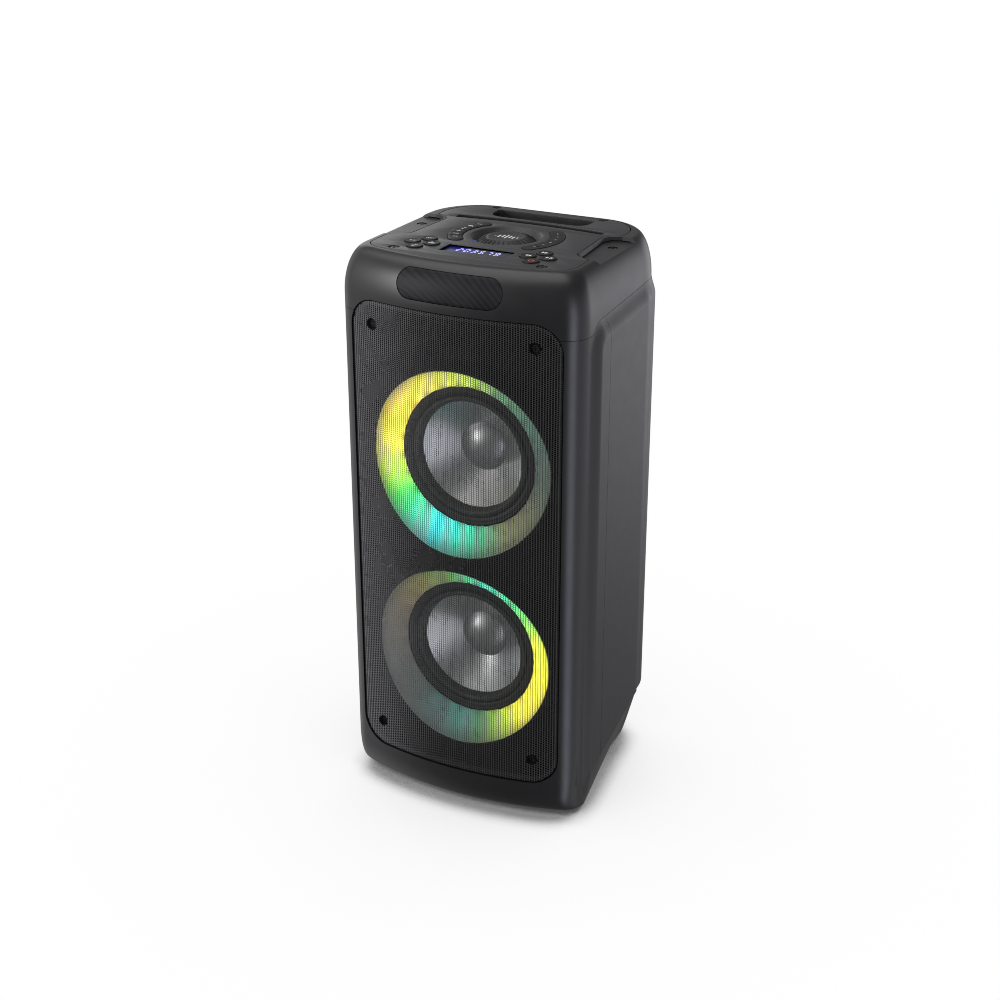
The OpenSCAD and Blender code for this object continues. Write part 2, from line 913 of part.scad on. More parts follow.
front_housing();
rear_housing();
top_cap();
control_panel();
handle_cup();
baffle();
grille();
screws();
feet();
rear_panel();
port_tube();
basket(upper_z);  // basket_upper
magnet(upper_z);  // magnet_upper
cone(upper_z);  // cone_upper
voice_coil(upper_z);  // voice_coil_upper
surround(upper_z);  // surround_upper
spider(upper_z);  // spider_upper
basket(lower_z);  // basket_lower
magnet(lower_z);  // magnet_lower
cone(lower_z);  // cone_lower
voice_coil(lower_z);  // voice_coil_lower
surround(lower_z);  // surround_lower
spider(lower_z);  // spider_lower
light_ring(upper_z);  // light_ring_upper
light_ring(lower_z);  // light_ring_lower
ring_led_boards();
strobe_window();
strobe_board();
tweeter();
volume_dial();
dial_encoder();
display_window();
display_module();
keypad_board();
amplifier_board();
battery_pack();
power_supply();
input_jacks();
usb_socket();
power_inlet();
round_button(-1, 0, -cluster_dd);  // button_left_front
round_button(-1, 0, cluster_dd);  // button_left_rear
round_button(-1, cluster_dx, 0);  // button_left_outer
round_button(-1, -cluster_dx, 0);  // button_left_inner
round_button(1, 0, -cluster_dd);  // button_power
round_button(1, 0, cluster_dd);  // button_right_rear
round_button(1, cluster_dx, 0);  // button_right_outer
round_button(1, -cluster_dx, 0);  // button_right_inner
crescent_key(-1, 1);  // key_left_1
crescent_key(-1, 2);  // key_left_2
crescent_key(-1, 3);  // key_left_3
crescent_key(-1, 4);  // key_left_4
crescent_key(-1, 5);  // key_left_5
crescent_key(-1, 6);  // key_left_6
crescent_key(1, 1);  // key_right_1
crescent_key(1, 2);  // key_right_2
crescent_key(1, 3);  // key_right_3
crescent_key(1, 4);  // key_right_4
crescent_key(1, 5);  // key_right_5
crescent_key(1, 6);  // key_right_6
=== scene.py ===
"""Looks of the party speaker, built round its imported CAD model.

Points are worked out in millimetres. A depth d is measured back from the foremost point of the
front, so y = FRONT + d. The floor is z = 0 and the front faces -Y.
"""
import json
import math

import bmesh
import bpy
import numpy as np
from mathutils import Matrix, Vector


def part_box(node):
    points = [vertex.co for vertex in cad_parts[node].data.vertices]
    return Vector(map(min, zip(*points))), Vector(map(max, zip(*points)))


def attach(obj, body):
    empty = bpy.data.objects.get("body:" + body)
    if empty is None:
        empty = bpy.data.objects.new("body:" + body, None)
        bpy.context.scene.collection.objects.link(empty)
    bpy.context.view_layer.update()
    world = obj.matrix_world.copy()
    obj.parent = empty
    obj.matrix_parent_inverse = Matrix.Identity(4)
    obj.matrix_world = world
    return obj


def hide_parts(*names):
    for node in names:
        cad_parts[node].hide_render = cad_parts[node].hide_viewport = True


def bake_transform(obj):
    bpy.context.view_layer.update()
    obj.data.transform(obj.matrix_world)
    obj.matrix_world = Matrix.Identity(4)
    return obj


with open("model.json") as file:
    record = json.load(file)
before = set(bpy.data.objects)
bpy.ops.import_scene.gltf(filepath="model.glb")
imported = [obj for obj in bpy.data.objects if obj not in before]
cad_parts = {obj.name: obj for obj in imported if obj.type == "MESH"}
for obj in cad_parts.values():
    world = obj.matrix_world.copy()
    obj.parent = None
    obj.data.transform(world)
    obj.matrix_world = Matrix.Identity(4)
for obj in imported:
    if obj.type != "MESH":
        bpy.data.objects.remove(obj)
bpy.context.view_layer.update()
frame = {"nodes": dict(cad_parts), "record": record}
MM = 0.001


def centre_of(node):
    """Middle of a CAD node's box, in millimetres."""
    low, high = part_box(node)
    return (low + high) / 2 / MM


def reach_of(node):
    """Lowest and highest corner of a CAD node's box, in millimetres."""
    low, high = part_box(node)
    return low / MM, high / MM


# ---- driving dimensions, from the frame ----

FRONT = reach_of("rear_housing")[1].y - 250
TOP = reach_of("control_panel")[1].z
FOOT = reach_of("feet")[1].z
GRILLE_LOW, GRILLE_HIGH = reach_of("grille")
RINGS = {"upper": centre_of("light_ring_upper").z, "lower": centre_of("light_ring_lower").z}
DIAL_D = centre_of("volume_dial").y - FRONT
TWEETER_Z = centre_of("tweeter").z
WINDOW_Z = 577.5

# the cabinet's outline seen from above, its raised side and back panels, and its walls
HALF = 134.0
RAISED = 6.4
BOW = 373.0
CORNER = 25.0
DEPTH = 247.0
REAR_CORNER = 66.0
BACK_RAISED = 3.0
WALL, CAP_WALL = 3.5, 3.2
SPLIT_D = 78.0
GAP = 0.4
# the cap's rolled edge: how far it comes in at the front, sides and back, and its height
ROLL_FRONT, ROLL_SIDE, ROLL_BACK = 22.0, 19.5, 6.0
ROLL_H, ROLL_BACK_H = 47.0, 24.0
SEAM_FRONT = 538.0
PANEL_T = 4.0
POCKET = 4.0
GRILLE_SINK = 1.4
GRILLE_CORNER = 30.0
RING_R = 100.0


# ---- meshes ----

def linked(name, data, materials=()):
    """Puts an object with this data into the scene."""
    obj = bpy.data.objects.new(name, data)
    bpy.context.scene.collection.objects.link(obj)
    for m in materials:
        data.materials.append(m)
    return obj


class Shape:
    """Collects points in millimetres and faces, and becomes one piece."""

    def __init__(self):
        self.points, self.faces, self.slots = [], [], []

    def add(self, points, faces, slot=0):
        start = len(self.points)
        self.points.extend(map(tuple, np.asarray(points, float).reshape(-1, 3)))
        self.faces.extend(tuple(int(i) + start for i in f) for f in faces)
        self.slots.extend([slot] * len(faces))
        return self

    def loft(self, rings, around=True, start=False, end=False, slot=0):
        """Skins rings of equally many points; around closes each ring, start and end close the ends."""
        rings = np.asarray(rings, float)
        rows, cols = rings.shape[:2]
        last = cols if around else cols - 1
        faces = [
            (r * cols + c, r * cols + (c + 1) % cols, (r + 1) * cols + (c + 1) % cols, (r + 1) * cols + c)
            for r in range(rows - 1)
            for c in range(last)
        ]
        if start:
            faces.append(tuple(range(cols)))
        if end:
            faces.append(tuple(range((rows - 1) * cols, rows * cols)))
        return self.add(rings.reshape(-1, 3), faces, slot)

    def solid(self, rings, slot=0):
        return self.loft(rings, start=True, end=True, slot=slot)

    def shell(self, outer, inner, slot=0):
        """Closed shell between two grids that have the same rows and open columns."""
        around = np.concatenate([outer, inner[:, ::-1]], axis=1)
        rows, cols = around.shape[:2]
        self.loft(around, slot=slot)
        start = len(self.points) - rows * cols
        half = outer.shape[1]
        for row in (0, rows - 1):
            base = start + row * cols
            strip = [
                (base + c, base + c + 1, base + cols - 2 - c, base + cols - 1 - c) for c in range(half - 1)
            ]
            self.faces.extend(strip)
            self.slots.extend([slot] * len(strip))
        return self

    def lathe(self, profile, centre, axis="y", steps=120, slot=0):
        """Turns a closed (radius, place along the axis) outline about an axis through centre."""
        r, along = np.asarray(profile, float).T
        rings = []
        for a in np.arange(steps) * 2 * math.pi / steps:
            u, v = centre[0] + r * math.cos(a), centre[1] + r * math.sin(a)
            rings.append(np.stack([u, along, v] if axis == "y" else [u, v, along], 1))
        return self.loft([*rings, rings[0]], slot=slot)

    def mesh(self, name):
        mesh = bpy.data.meshes.new(name)
        mesh.from_pydata([tuple(c * MM for c in p) for p in self.points], [], self.faces)
        mesh.polygons.foreach_set("material_index", self.slots)
        made = bmesh.new()
        made.from_mesh(mesh)
        bmesh.ops.remove_doubles(made, verts=made.verts, dist=1e-6)
        bmesh.ops.dissolve_degenerate(made, edges=made.edges, dist=1e-7)
        bmesh.ops.recalc_face_normals(made, faces=made.faces)
        made.to_mesh(mesh)
        made.free()
        return mesh

    def thing(self, name, materials=()):
        return linked(name, self.mesh(name), materials)

    def piece(self, name, materials, body="cabinet", stands_for=(), slot=None, angle=32):
        return settle(self.thing(name, materials), body, stands_for, angle)


def settle(obj, body, stands_for=(), angle=32):
    """Smooths the faces that meet at less than angle, and puts the piece on its body."""
    obj.data.shade_smooth()
    obj.data.set_sharp_from_angle(angle=math.radians(angle))
    if body:
        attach(obj, body)
    if stands_for:
        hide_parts(*stands_for)
    return obj


def evaluated(obj):
    return bpy.data.meshes.new_from_object(obj.evaluated_get(bpy.context.evaluated_depsgraph_get()))


def cutter(rings):
    return Shape().solid(rings).thing("cutter")


def carve(obj, *cutters):
    """Takes the cutters' solids away from obj, and removes the cutters."""
    for each in cutters:
        mod = obj.modifiers.new("carve", "BOOLEAN")
        mod.object, mod.operation, mod.solver = each, "DIFFERENCE", "MANIFOLD"
    solid = evaluated(obj)
    obj.modifiers.clear()
    obj.data = solid
    for each in cutters:
        bpy.data.objects.remove(each)
    return obj


def joined(name, parts, materials, body="cabinet", stands_for=(), angle=32):
    """Joins shapes and things into one piece; each keeps its material indexes."""
    made = bmesh.new()
    for part in parts:
        thing = part.thing("part") if isinstance(part, Shape) else part
        made.from_mesh(thing.data)
        bpy.data.objects.remove(thing)
    mesh = bpy.data.meshes.new(name)
    made.to_mesh(mesh)
    made.free()
    return settle(linked(name, mesh, materials), body, stands_for, angle)


# ---- outlines ----

def arc(cx, cy, r, a0, a1, n):
    """n + 1 points along an arc, in degrees."""
    a = np.radians(np.linspace(a0, a1, n + 1))
    return np.stack([cx + r * np.cos(a), cy + r * np.sin(a)], 1)


def mirrored(half):
    """Closes a right half, given from the middle of the front to the middle of the back."""
    half = np.asarray(half, float)
    left = half[::-1] * [-1, 1]
    return np.concatenate([half, left])


def rounded(points, radii, n=6):
    """Polygon whose corners are rounded, each by its own radius."""
    made = []
    for i, p in enumerate(points):
        p, r = np.array(p, float), radii[i]
        before = np.array(points[i - 1], float) - p
        after = np.array(points[(i + 1) % len(points)], float) - p
        if r <= 0:
            made.append(p)
            continue
        before, after = before / np.linalg.norm(before), after / np.linalg.norm(after)
        half = math.acos(max(-1.0, min(1.0, float(before @ after)))) / 2
        cut = r / math.tan(half)
        for t in np.linspace(0, 1, n + 1):
            a, b = p + before * cut * (1 - t), p + after * cut * t
            made.append(a + (b - a) * t)
    return np.array(made)


def outset(points, by):
    """A closed outline moved outwards by a distance, corner by corner."""
    points = np.asarray(points, float)
    ahead = np.roll(points, -1, 0) - points
    ahead /= np.maximum(np.linalg.norm(ahead, axis=1), 1e-9)[:, None]
    behind = np.roll(ahead, 1, 0)
    u, v = points.T
    turn = np.sign(np.sum(u * np.roll(v, -1) - np.roll(u, -1) * v))
    out_a = np.stack([ahead[:, 1], -ahead[:, 0]], 1) * turn
    out_b = np.stack([behind[:, 1], -behind[:, 0]], 1) * turn
    mid = out_a + out_b
    mid /= np.maximum(np.sum(mid * mid, 1) / 2, 0.35)[:, None]
    return points + mid * by


def levelled(outline, levels):
    """The outline's two columns and its level, for each of the levels of (outset, level)."""
    for grow, level in levels:
        o = outset(outline, grow) if grow else np.asarray(outline, float)
        yield o[:, 0], o[:, 1], np.full(len(o), level)


def upright(outline, levels):
    """Rings of an (x, d) outline at levels of (outset, z)."""
    return [np.column_stack([x, FRONT + d, z]) for x, d, z in levelled(outline, levels)]


def facing(outline, levels):
    """Rings of an (x, z) outline at levels of (outset, d)."""
    return [np.column_stack([x, FRONT + d, z]) for x, z, d in levelled(outline, levels)]


def prism(outline, z0, z1, grow=0.0):
    """Rings of an (x, d) outline between two heights."""
    return upright(outline, [(grow, z0), (grow, z1)])


def through(outline, d0, d1):
    """Rings of an (x, z) outline between two depths."""
    return facing(outline, [(0, d0), (0, d1)])


def box(u0, u1, v0, v1):
    """Outline of a rectangle."""
    return np.array([(u0, v0), (u1, v0), (u1, v1), (u0, v1)], float)


def circle(u, v, r, n=48):
    return arc(u, v, r, 0, 360, n)[:-1]


def dense(outline, step=4.0):
    """A closed outline with long stretches divided."""
    made = []
    for p, q in zip(outline, np.roll(outline, -1, 0)):
        n = max(1, int(np.linalg.norm(q - p) / step))
        made.extend(p + (q - p) * t for t in np.arange(n) / n)
    return np.array(made)


def on_side(outline, side):
    """An outline drawn for the right side, put on either side."""
    return outline if side > 0 else (outline * [-1, 1])[::-1]


def bow_depth(x):
    """How far the bowed front falls back at x."""
    return BOW - np.sqrt(BOW * BOW - np.asarray(x, float) ** 2)


def smooth(t):
    t = np.clip(t, 0, 1)
    return t * t * (3 - 2 * t)


# ---- the cabinet's skin ----

FRONT_STEPS, CORNER_STEPS, REAR_STEPS, BACK_STEPS = 28, 14, 18, 8
SIDE_LENGTH = DEPTH - REAR_CORNER - 42.2
FINE = np.arange(1.6, 60, 1.6)
COARSE = 60 + 6.2 * np.arange(13)
SIDE_STEPS = np.concatenate([FINE, COARSE, [SIDE_LENGTH]]) / SIDE_LENGTH


def plan(half, front, bow, corner, rear, rear_corner):
    """Right half of an outline seen from above, from the middle of the front to that of the back."""
    cx, reach = half - corner, bow - corner
    cy = front + bow - math.sqrt(reach * reach - cx * cx)
    turn = math.degrees(math.asin(cx / reach))
    rear_cy = rear - rear_corner
    side = np.stack([np.full(len(SIDE_STEPS), half), cy + SIDE_STEPS * (rear_cy - cy)], 1)
    back = np.linspace(half - rear_corner, 0, BACK_STEPS + 1)[1:]
    return np.concatenate([
        arc(0, front + bow, bow, -90, -90 + turn, FRONT_STEPS),
        arc(cx, cy, corner, -90 + turn, 0, CORNER_STEPS)[1:],
        side,
        arc(half - rear_corner, rear_cy, rear_corner, 0, 90, REAR_STEPS)[1:],
        np.stack([back, np.full(BACK_STEPS, rear)], 1),
    ])


BASE = plan(HALF, 0, BOW, CORNER, DEPTH, REAR_CORNER)
COLUMNS = len(BASE)
SIDE_START = FRONT_STEPS + CORNER_STEPS
REAR_START = SIDE_START + len(SIDE_STEPS)
BACK_START = REAR_START + REAR_STEPS


def raised_plan():
    """The base outline, moved out to the face of the raised side and back panels."""
    out = BASE.copy()
    out[SIDE_START + 1:REAR_START + 1, 0] = HALF + RAISED
    inset = REAR_CORNER + 1
    out[REAR_START:BACK_START + 1] = arc(HALF - REAR_CORNER + 1, DEPTH - inset, inset + 3, 0, 90, REAR_STEPS)
    out[BACK_START + 1:, 1] = DEPTH + BACK_RAISED
    return out


def foot_plan():
    """The edge that the cabinet tapers to, just above the feet."""
    out = plan(HALF - 2, 15, BOW - 15, 22, DEPTH, REAR_CORNER)
    start, end = out[SIDE_START], np.array([110.0, 181.0])
    for i in range(SIDE_START + 1, REAR_START + 1):
        out[i] = start + (end - start) * (out[i, 1] - start[1]) / (end[1] - start[1])
    a = np.radians(np.linspace(0, 90, REAR_STEPS + 1))
    out[REAR_START:BACK_START + 1, 0] = 67 + 43 * np.sqrt(np.abs(np.cos(a)))
    out[REAR_START:BACK_START + 1, 1] = 181 + 59 * np.sqrt(np.sin(a))
    out[BACK_START + 1:, 1] = 240
    return out


UP, DOWN = raised_plan(), foot_plan()
BAND_D, BAND_W, BAND_H, BAND_ROUND = 43.0, 14.0, 18.0, 1.8
ROOF_D = np.clip(BASE[:, 1], 71, 187)
ROOF = 549 + (ROOF_D - 71) * 8 / 116
BEHIND = np.arange(COLUMNS) > SIDE_START
IN_BAND = np.where(BEHIND, (BASE[:, 1] - BAND_D) / BAND_W, -1.0)


def seam_heights():
    """Height of the seam between the cabinet and the cap, at each column."""
    near = np.clip(BAND_ROUND - IN_BAND, 0, BAND_ROUND)
    drop = BAND_ROUND - np.sqrt(BAND_ROUND ** 2 - near ** 2)
    return np.where(IN_BAND > 0, np.maximum(ROOF - BAND_H * drop, SEAM_FRONT), SEAM_FRONT)


SEAM = seam_heights()
WAIST = np.interp(BASE[:, 1], [0, 16, 42, 65, 181, 250], [39, 40, 49, 56, 89, 91])
SIDEWAYS = smooth((BASE[:, 1] - 20) / 37)
SIDEWAYS[BACK_START:] = 1


def plateau(z):
    """Share of the raised panels' height at each column, for a row of heights."""
    a, b = IN_BAND, (ROOF - z) / BAND_H
    round_a, round_b = np.maximum(BAND_ROUND - a, 0), np.maximum(BAND_ROUND - b, 0)
    inside = BAND_ROUND - np.hypot(round_a, round_b)
    both_round = (a < BAND_ROUND) & (b < BAND_ROUND)
    t = np.clip(np.where(both_round, inside, np.minimum(a, b)), 0, 1)
    return 0.45 * t + 0.55 * smooth(t)


def body_rows():
    """The cabinet's outer skin up to the seam, as rows of (x, d, z)."""
    rows = []
    for a in np.radians(np.linspace(0, 90, 13)):
        z = FOOT + (WAIST - GAP * 2 - FOOT) * (1 - math.cos(a))
        share = (1 - SIDEWAYS) * math.sin(a) + SIDEWAYS * (1 - math.cos(a)) ** 0.92
        top = BASE + (UP - BASE) * plateau(WAIST)[:, None]
        inward = 1 - 0.012 * SIDEWAYS[:, None]
        xd = DOWN + (top * inward - DOWN) * share[:, None]
        rows.append(np.column_stack([xd, z]))
    heights = [WAIST + (SEAM - 45 - WAIST) * t for t in np.linspace(0, 1, 15)]
    heights += [SEAM - 45 + 45 * t for t in np.linspace(0, 1, 28)[1:]]
    for z in heights:
        xd = BASE + (UP - BASE) * plateau(z)[:, None]
        rows.append(np.column_stack([xd, z]))
    return np.array(rows)


def cap_plan(share):
    """Outline of the cap where the rolled edge has come in by a share, which may differ by column."""
    out = np.zeros((COLUMNS, 2))
    known = {}
    for i, s in enumerate(share):
        key = round(float(s), 5)
        if key not in known:
            known[key] = plan(
                HALF - ROLL_SIDE * s, ROLL_FRONT * s, BOW - ROLL_FRONT * s,
                CORNER - 3 * s, DEPTH - ROLL_BACK * s, REAR_CORNER - 12 * s,
            )
        out[i] = known[key][i]
    return out


BACKWARD = smooth((np.arange(COLUMNS) - REAR_START) / (BACK_START - REAR_START))
EDGE_H = ROLL_H + (ROLL_BACK_H - ROLL_H) * BACKWARD


def cap_rows():
    """The cap's outer skin from the seam to its flat top, as rows of (x, d, z)."""
    start = SEAM + GAP
    knee = np.maximum(TOP - EDGE_H, start + 1.5)
    wall = cap_plan(np.zeros(COLUMNS))
    rows = [np.column_stack([wall, start + (knee - start) * t]) for t in (0, 0.35, 0.7)]
    first = np.arcsin((knee - TOP + EDGE_H) / EDGE_H)
    for t in np.linspace(0, 1, 25):
        a = first + (math.pi / 2 - first) * t
        z = TOP - EDGE_H + EDGE_H * np.sin(a)
        rows.append(np.column_stack([cap_plan(1 - np.cos(a)), z]))
    return np.array(rows)


def placed(rows):
    """Rows of (x, d, z) as rows of points."""
    return rows + [0, FRONT, 0]


def whole(rows):
    """Adds the left half, and starts each row in the middle of the back."""
    left = rows[:, ::-1] * [-1, 1, 1]
    return np.concatenate([left[:, :-1], rows], axis=1)


def inner_side(grid, by):
    """A grid of points moved inwards by a wall's thickness."""
    along = np.gradient(grid, axis=1)
    upward = np.gradient(grid, axis=0)
    normal = np.cross(along, upward)
    normal /= np.maximum(np.linalg.norm(normal, axis=2), 1e-9)[:, :, None]
    middle = np.array([0, 0, 300.0])
    away = np.sum(normal * (grid - middle) * [1, 1, 0], axis=2)
    normal *= np.where(away < 0, -1, 1)[:, :, None]
    return grid - normal * by


# ---- materials ----

class Nodes:
    """Fills a node tree. An input given as a socket is linked, and any other is set."""

    def __init__(self, tree):
        self.tree = tree

    def add(self, kind, inputs=(), **props):
        node = self.tree.nodes.new(kind)
        for key, value in props.items():
            setattr(node, key, value)
        for i, value in dict(inputs).items():
            if isinstance(value, bpy.types.NodeSocket):
                self.tree.links.new(value, node.inputs[i])
            else:
                node.inputs[i].default_value = value
        return node

    def ramp(self, value, stops):
        node = self.add("ShaderNodeValToRGB", {"Fac": value})
        elements = node.color_ramp.elements
        while len(elements) < len(stops):
            elements.new(0.5)
        for element, (place, colour) in zip(elements, sorted(stops)):
            element.position = place
            element.color = (*colour, 1)
        return node.outputs["Color"]

    def remap(self, value, low, high, to_low, to_high, **props):
        inputs = {"Value": value, "From Min": low, "From Max": high, "To Min": to_low, "To Max": to_high}
        return self.add("ShaderNodeMapRange", inputs, **props).outputs["Result"]

    def maths(self, operation, *values):
        return self.add("ShaderNodeMath", dict(enumerate(values)), operation=operation).outputs[0]

    def times(self, *values):
        return self.maths("MULTIPLY", *values)

    def length(self, u, v):
        return self.maths("SQRT", self.maths("ADD", self.times(u, u), self.times(v, v)))

    def parts(self, vector):
        return self.add("ShaderNodeSeparateXYZ", {"Vector": vector}).outputs

    def camera_only(self, shown, felt, output):
        """Shows one shader to the camera and another to every other ray."""
        path = self.add("ShaderNodeLightPath").outputs["Is Camera Ray"]
        mix = self.add("ShaderNodeMixShader", {0: path, 1: felt, 2: shown})
        self.tree.links.new(mix.outputs[0], output)


class Finish(Nodes):
    """A node material round one Principled shader; its values are set on the shader itself."""

    def __init__(self, name, **values):
        self.mat = bpy.data.materials.new(name)
        self.mat.use_nodes = True
        super().__init__(self.mat.node_tree)
        self.shader = self.tree.nodes["Principled BSDF"]
        for key, value in values.items():
            self.shader.inputs[key.replace("_", " ")].default_value = value
        self.where = self.add("ShaderNodeTexCoord").outputs["Object"]

    def link(self, value, socket):
        self.tree.links.new(value, self.shader.inputs[socket])

    def noise(self, size, detail=2.0):
        """Noise whose features are size millimetres across."""
        inputs = {"Vector": self.where, "Scale": 1 / (size * MM), "Detail": detail}
        return self.add("ShaderNodeTexNoise", inputs).outputs["Fac"]

    def surface(self, shade, low, high, dark, light, *rough):
        """Colour and roughness that both follow a noise between two of its levels."""
        self.link(self.ramp(shade, [(low, dark), (high, light)]), "Base Color")
        self.link(self.remap(shade, low, high, *rough), "Roughness")

    def bump(self, height, strength, distance):
        inputs = {"Height": height, "Strength": strength, "Distance": distance * MM}
        self.link(self.add("ShaderNodeBump", inputs).outputs["Normal"], "Normal")


def grey(level, blue=1.0):
    return (level, level, level * blue)


def scaled(colour, share):
    return tuple(c * share for c in colour)


def moulded(name, dark, light, rough=(0.40, 0.50), grain=0.55, depth=0.05, **values):
    """Moulded plastic: slightly clouded colour, uneven gloss and a fine spark-eroded grain."""
    made = Finish(name, **values)
    made.link(made.ramp(made.noise(70, 4), [(0.35, dark), (0.65, light)]), "Base Color")
    made.link(made.remap(made.noise(18, 5), 0.35, 0.65, *rough), "Roughness")
    made.bump(made.noise(grain, 2), 0.2, depth)
    return made.mat


def metal(name, colour, rough, metallic=1.0):
    made = Finish(name, Metallic=metallic)
    made.surface(made.noise(6, 5), 0.3, 0.7, scaled(colour, 0.85), colour, rough, rough + 0.12)
    made.bump(made.noise(0.8, 3), 0.3, 0.02)
    return made.mat


def printed(name, colour, glow=0.0):
    """Ink or a lit mark, a little uneven."""
    made = Finish(name, Roughness=0.5)
    tint = made.ramp(made.noise(1.5, 3), [(0.3, scaled(colour, 0.86)), (0.7, colour)])
    made.link(tint, "Base Color")
    if glow:
        made.link(tint, "Emission Color")
        made.shader.inputs["Emission Strength"].default_value = glow
    return made.mat


CABINET = moulded("cabinet_plastic", grey(0.0100, 1.12), grey(0.0112, 1.12), (0.38, 0.41), IOR=1.4)
CAP = moulded("cap_plastic", grey(0.0100, 1.1), grey(0.0112, 1.1), (0.36, 0.39), IOR=1.4)
PANEL = moulded("panel_plastic", grey(0.021, 1.08), grey(0.023, 1.08), (0.41, 0.43), 0.4, 0.03, IOR=1.4)
BUTTON = moulded("button_plastic", grey(0.009, 1.04), grey(0.011, 1.04), (0.44, 0.48), 0.4, 0.02, IOR=1.25)
DIAL = moulded("dial_plastic", grey(0.014, 1.04), grey(0.016, 1.04), (0.40, 0.44), 0.4, 0.02, IOR=1.36)
# Near-black inner plastic, far darker than the cabinet's own black: painted shade for the cabinet's inside
# and its recesses.
SHADED_INNER = moulded("inner_plastic", grey(0.0015), grey(0.002), (0.6, 0.7), IOR=1.15)
RUBBER = moulded("rubber", grey(0.010), grey(0.016), (0.55, 0.7), 0.9, 0.06)
POCKET_LINING = moulded("pocket_plastic", grey(0.010), grey(0.015), (0.42, 0.5))
GRILLE_PAINT = moulded(
    "grille_paint", grey(0.155, 1.03), grey(0.165, 1.03), (0.26, 0.30), 0.5, 0.03, Metallic=0.95)
STEEL = metal("screw_steel", grey(0.035), 0.3)
BLACK_STEEL = metal("basket_steel", grey(0.008), 0.5, metallic=0.2)
FERRITE = moulded("magnet_ferrite", grey(0.03), grey(0.05), (0.5, 0.7))
COPPER = metal("coil_copper", (0.55, 0.26, 0.11), 0.3)
SPIDER = moulded("spider_cloth", (0.42, 0.27, 0.08), (0.55, 0.36, 0.12), (0.7, 0.85), 0.6, 0.1)
BOARD = moulded("circuit_board", (0.01, 0.06, 0.02), (0.015, 0.09, 0.03), (0.3, 0.5), 3.0, 0.02)
BATTERY = moulded("battery_wrap", (0.03, 0.06, 0.16), (0.04, 0.08, 0.2), (0.25, 0.4))
SUPPLY = moulded("supply_board", (0.30, 0.28, 0.22), (0.42, 0.40, 0.33), (0.4, 0.6))
NICKEL = metal("jack_metal", grey(0.55), 0.25)
INK = printed("white_ink", (0.62, 0.62, 0.64), 0.06)
RED_INK = printed("red_ink", (0.62, 0.05, 0.05), 0.10)
BLUE_GLOW = printed("blue_glow", (0.03, 0.05, 0.9), 4.0)
TWEETER = moulded("tweeter_cloth", grey(0.0012), grey(0.004), (0.6, 0.8), 0.8, 0.05, IOR=1.15)

# the finish of the CAD nodes that are shown as they are, by material slot; the inner, diffuser and lens
# slots, and slots not listed, take the near-black inner finish, which is painted shade
NODE_FINISH = {
    "cabinet_plastic": CABINET, "cap_plastic": CAP, "panel_plastic": PANEL, "inner_plastic": SHADED_INNER,
    "grille_steel": GRILLE_PAINT, "screw_steel": STEEL, "foot_rubber": RUBBER, "basket_steel": BLACK_STEEL,
    "magnet_ferrite": FERRITE, "cone_silver": STEEL, "coil_copper": COPPER, "surround_rubber": RUBBER,
    "spider_fabric": SPIDER, "ring_diffuser": SHADED_INNER, "circuit_board": BOARD, "strobe_lens": SHADED_INNER,
    "strobe_white": SUPPLY, "dial_plastic": DIAL, "button_plastic": BUTTON, "encoder_metal": NICKEL,
    "display_lens": SHADED_INNER, "battery_wrap": BATTERY, "jack_metal": NICKEL, "socket_metal": NICKEL,
    "supply_board": SUPPLY,
}
SLOT_OF = {row["node"]: row["material_slot"] for row in frame["record"]["subparts"]}


def finish_carried_nodes():
    """Gives each CAD node that still shows the finish of its slot."""
    for name, obj in frame["nodes"].items():
        if obj.hide_render:
            continue
        finish = NODE_FINISH.get(SLOT_OF.get(name), SHADED_INNER)
        obj.data.materials.clear()
        obj.data.materials.append(finish)


# ---- cabinet ----

def grille_outline(grow):
    """The grille's opening, as an (x, z) outline."""
    low, high, r = GRILLE_LOW.z - grow, GRILLE_HIGH.z + grow, GRILLE_CORNER + grow
    x, top, bottom = GRILLE_HIGH.x + grow - r, high - r, low + r
    centres = ((x, top), (-x, top), (-x, bottom), (x, bottom))
    return np.concatenate([arc(cx, cz, r, 90 * i, 90 * i + 90, 16) for i, (cx, cz) in enumerate(centres)])


def grille_cutter():
    return cutter(through(grille_outline(0.5), -5, 32))


def band_on_bow(outline, levels):
    """Closed band that follows an (x, z) outline on the bowed front; levels are (outset, depth behind it)."""
    rings = []
    for grow, back in levels + levels[:1]:
        o = outset(outline, grow)
        rings.append(np.column_stack([o[:, 0], FRONT + bow_depth(o[:, 0]) + back, o[:, 1]]))
    return rings


SKIN = body_rows()
SPLIT = int(np.argmin(np.abs(BASE[:REAR_START, 1] - SPLIT_D)))


def make_front_housing():
    near = placed(SKIN[:, :SPLIT + 1])
    grid = np.concatenate([near[:, :0:-1] * [-1, 1, 1], near], axis=1)
    shell = carve(Shape().shell(grid, inner_side(grid, WALL)).thing("shell"), grille_cutter())
    lip = band_on_bow(dense(grille_outline(0)), [(3.4, 3.2), (-5, 3.2), (-5, 6.5), (3.4, 6.5)])
    # a near-black sheet that closes the view over the baffle's top edge, behind the grille: painted shade
    # where the cabinet's inside lies
    screen = Shape().solid(through(box(-122, 122, 531, 556), 43.6, 45.4), slot=1)
    joined("front_housing_shell", [shell, Shape().loft(lip), screen], [CABINET, SHADED_INNER],
           stands_for=["front_housing"])


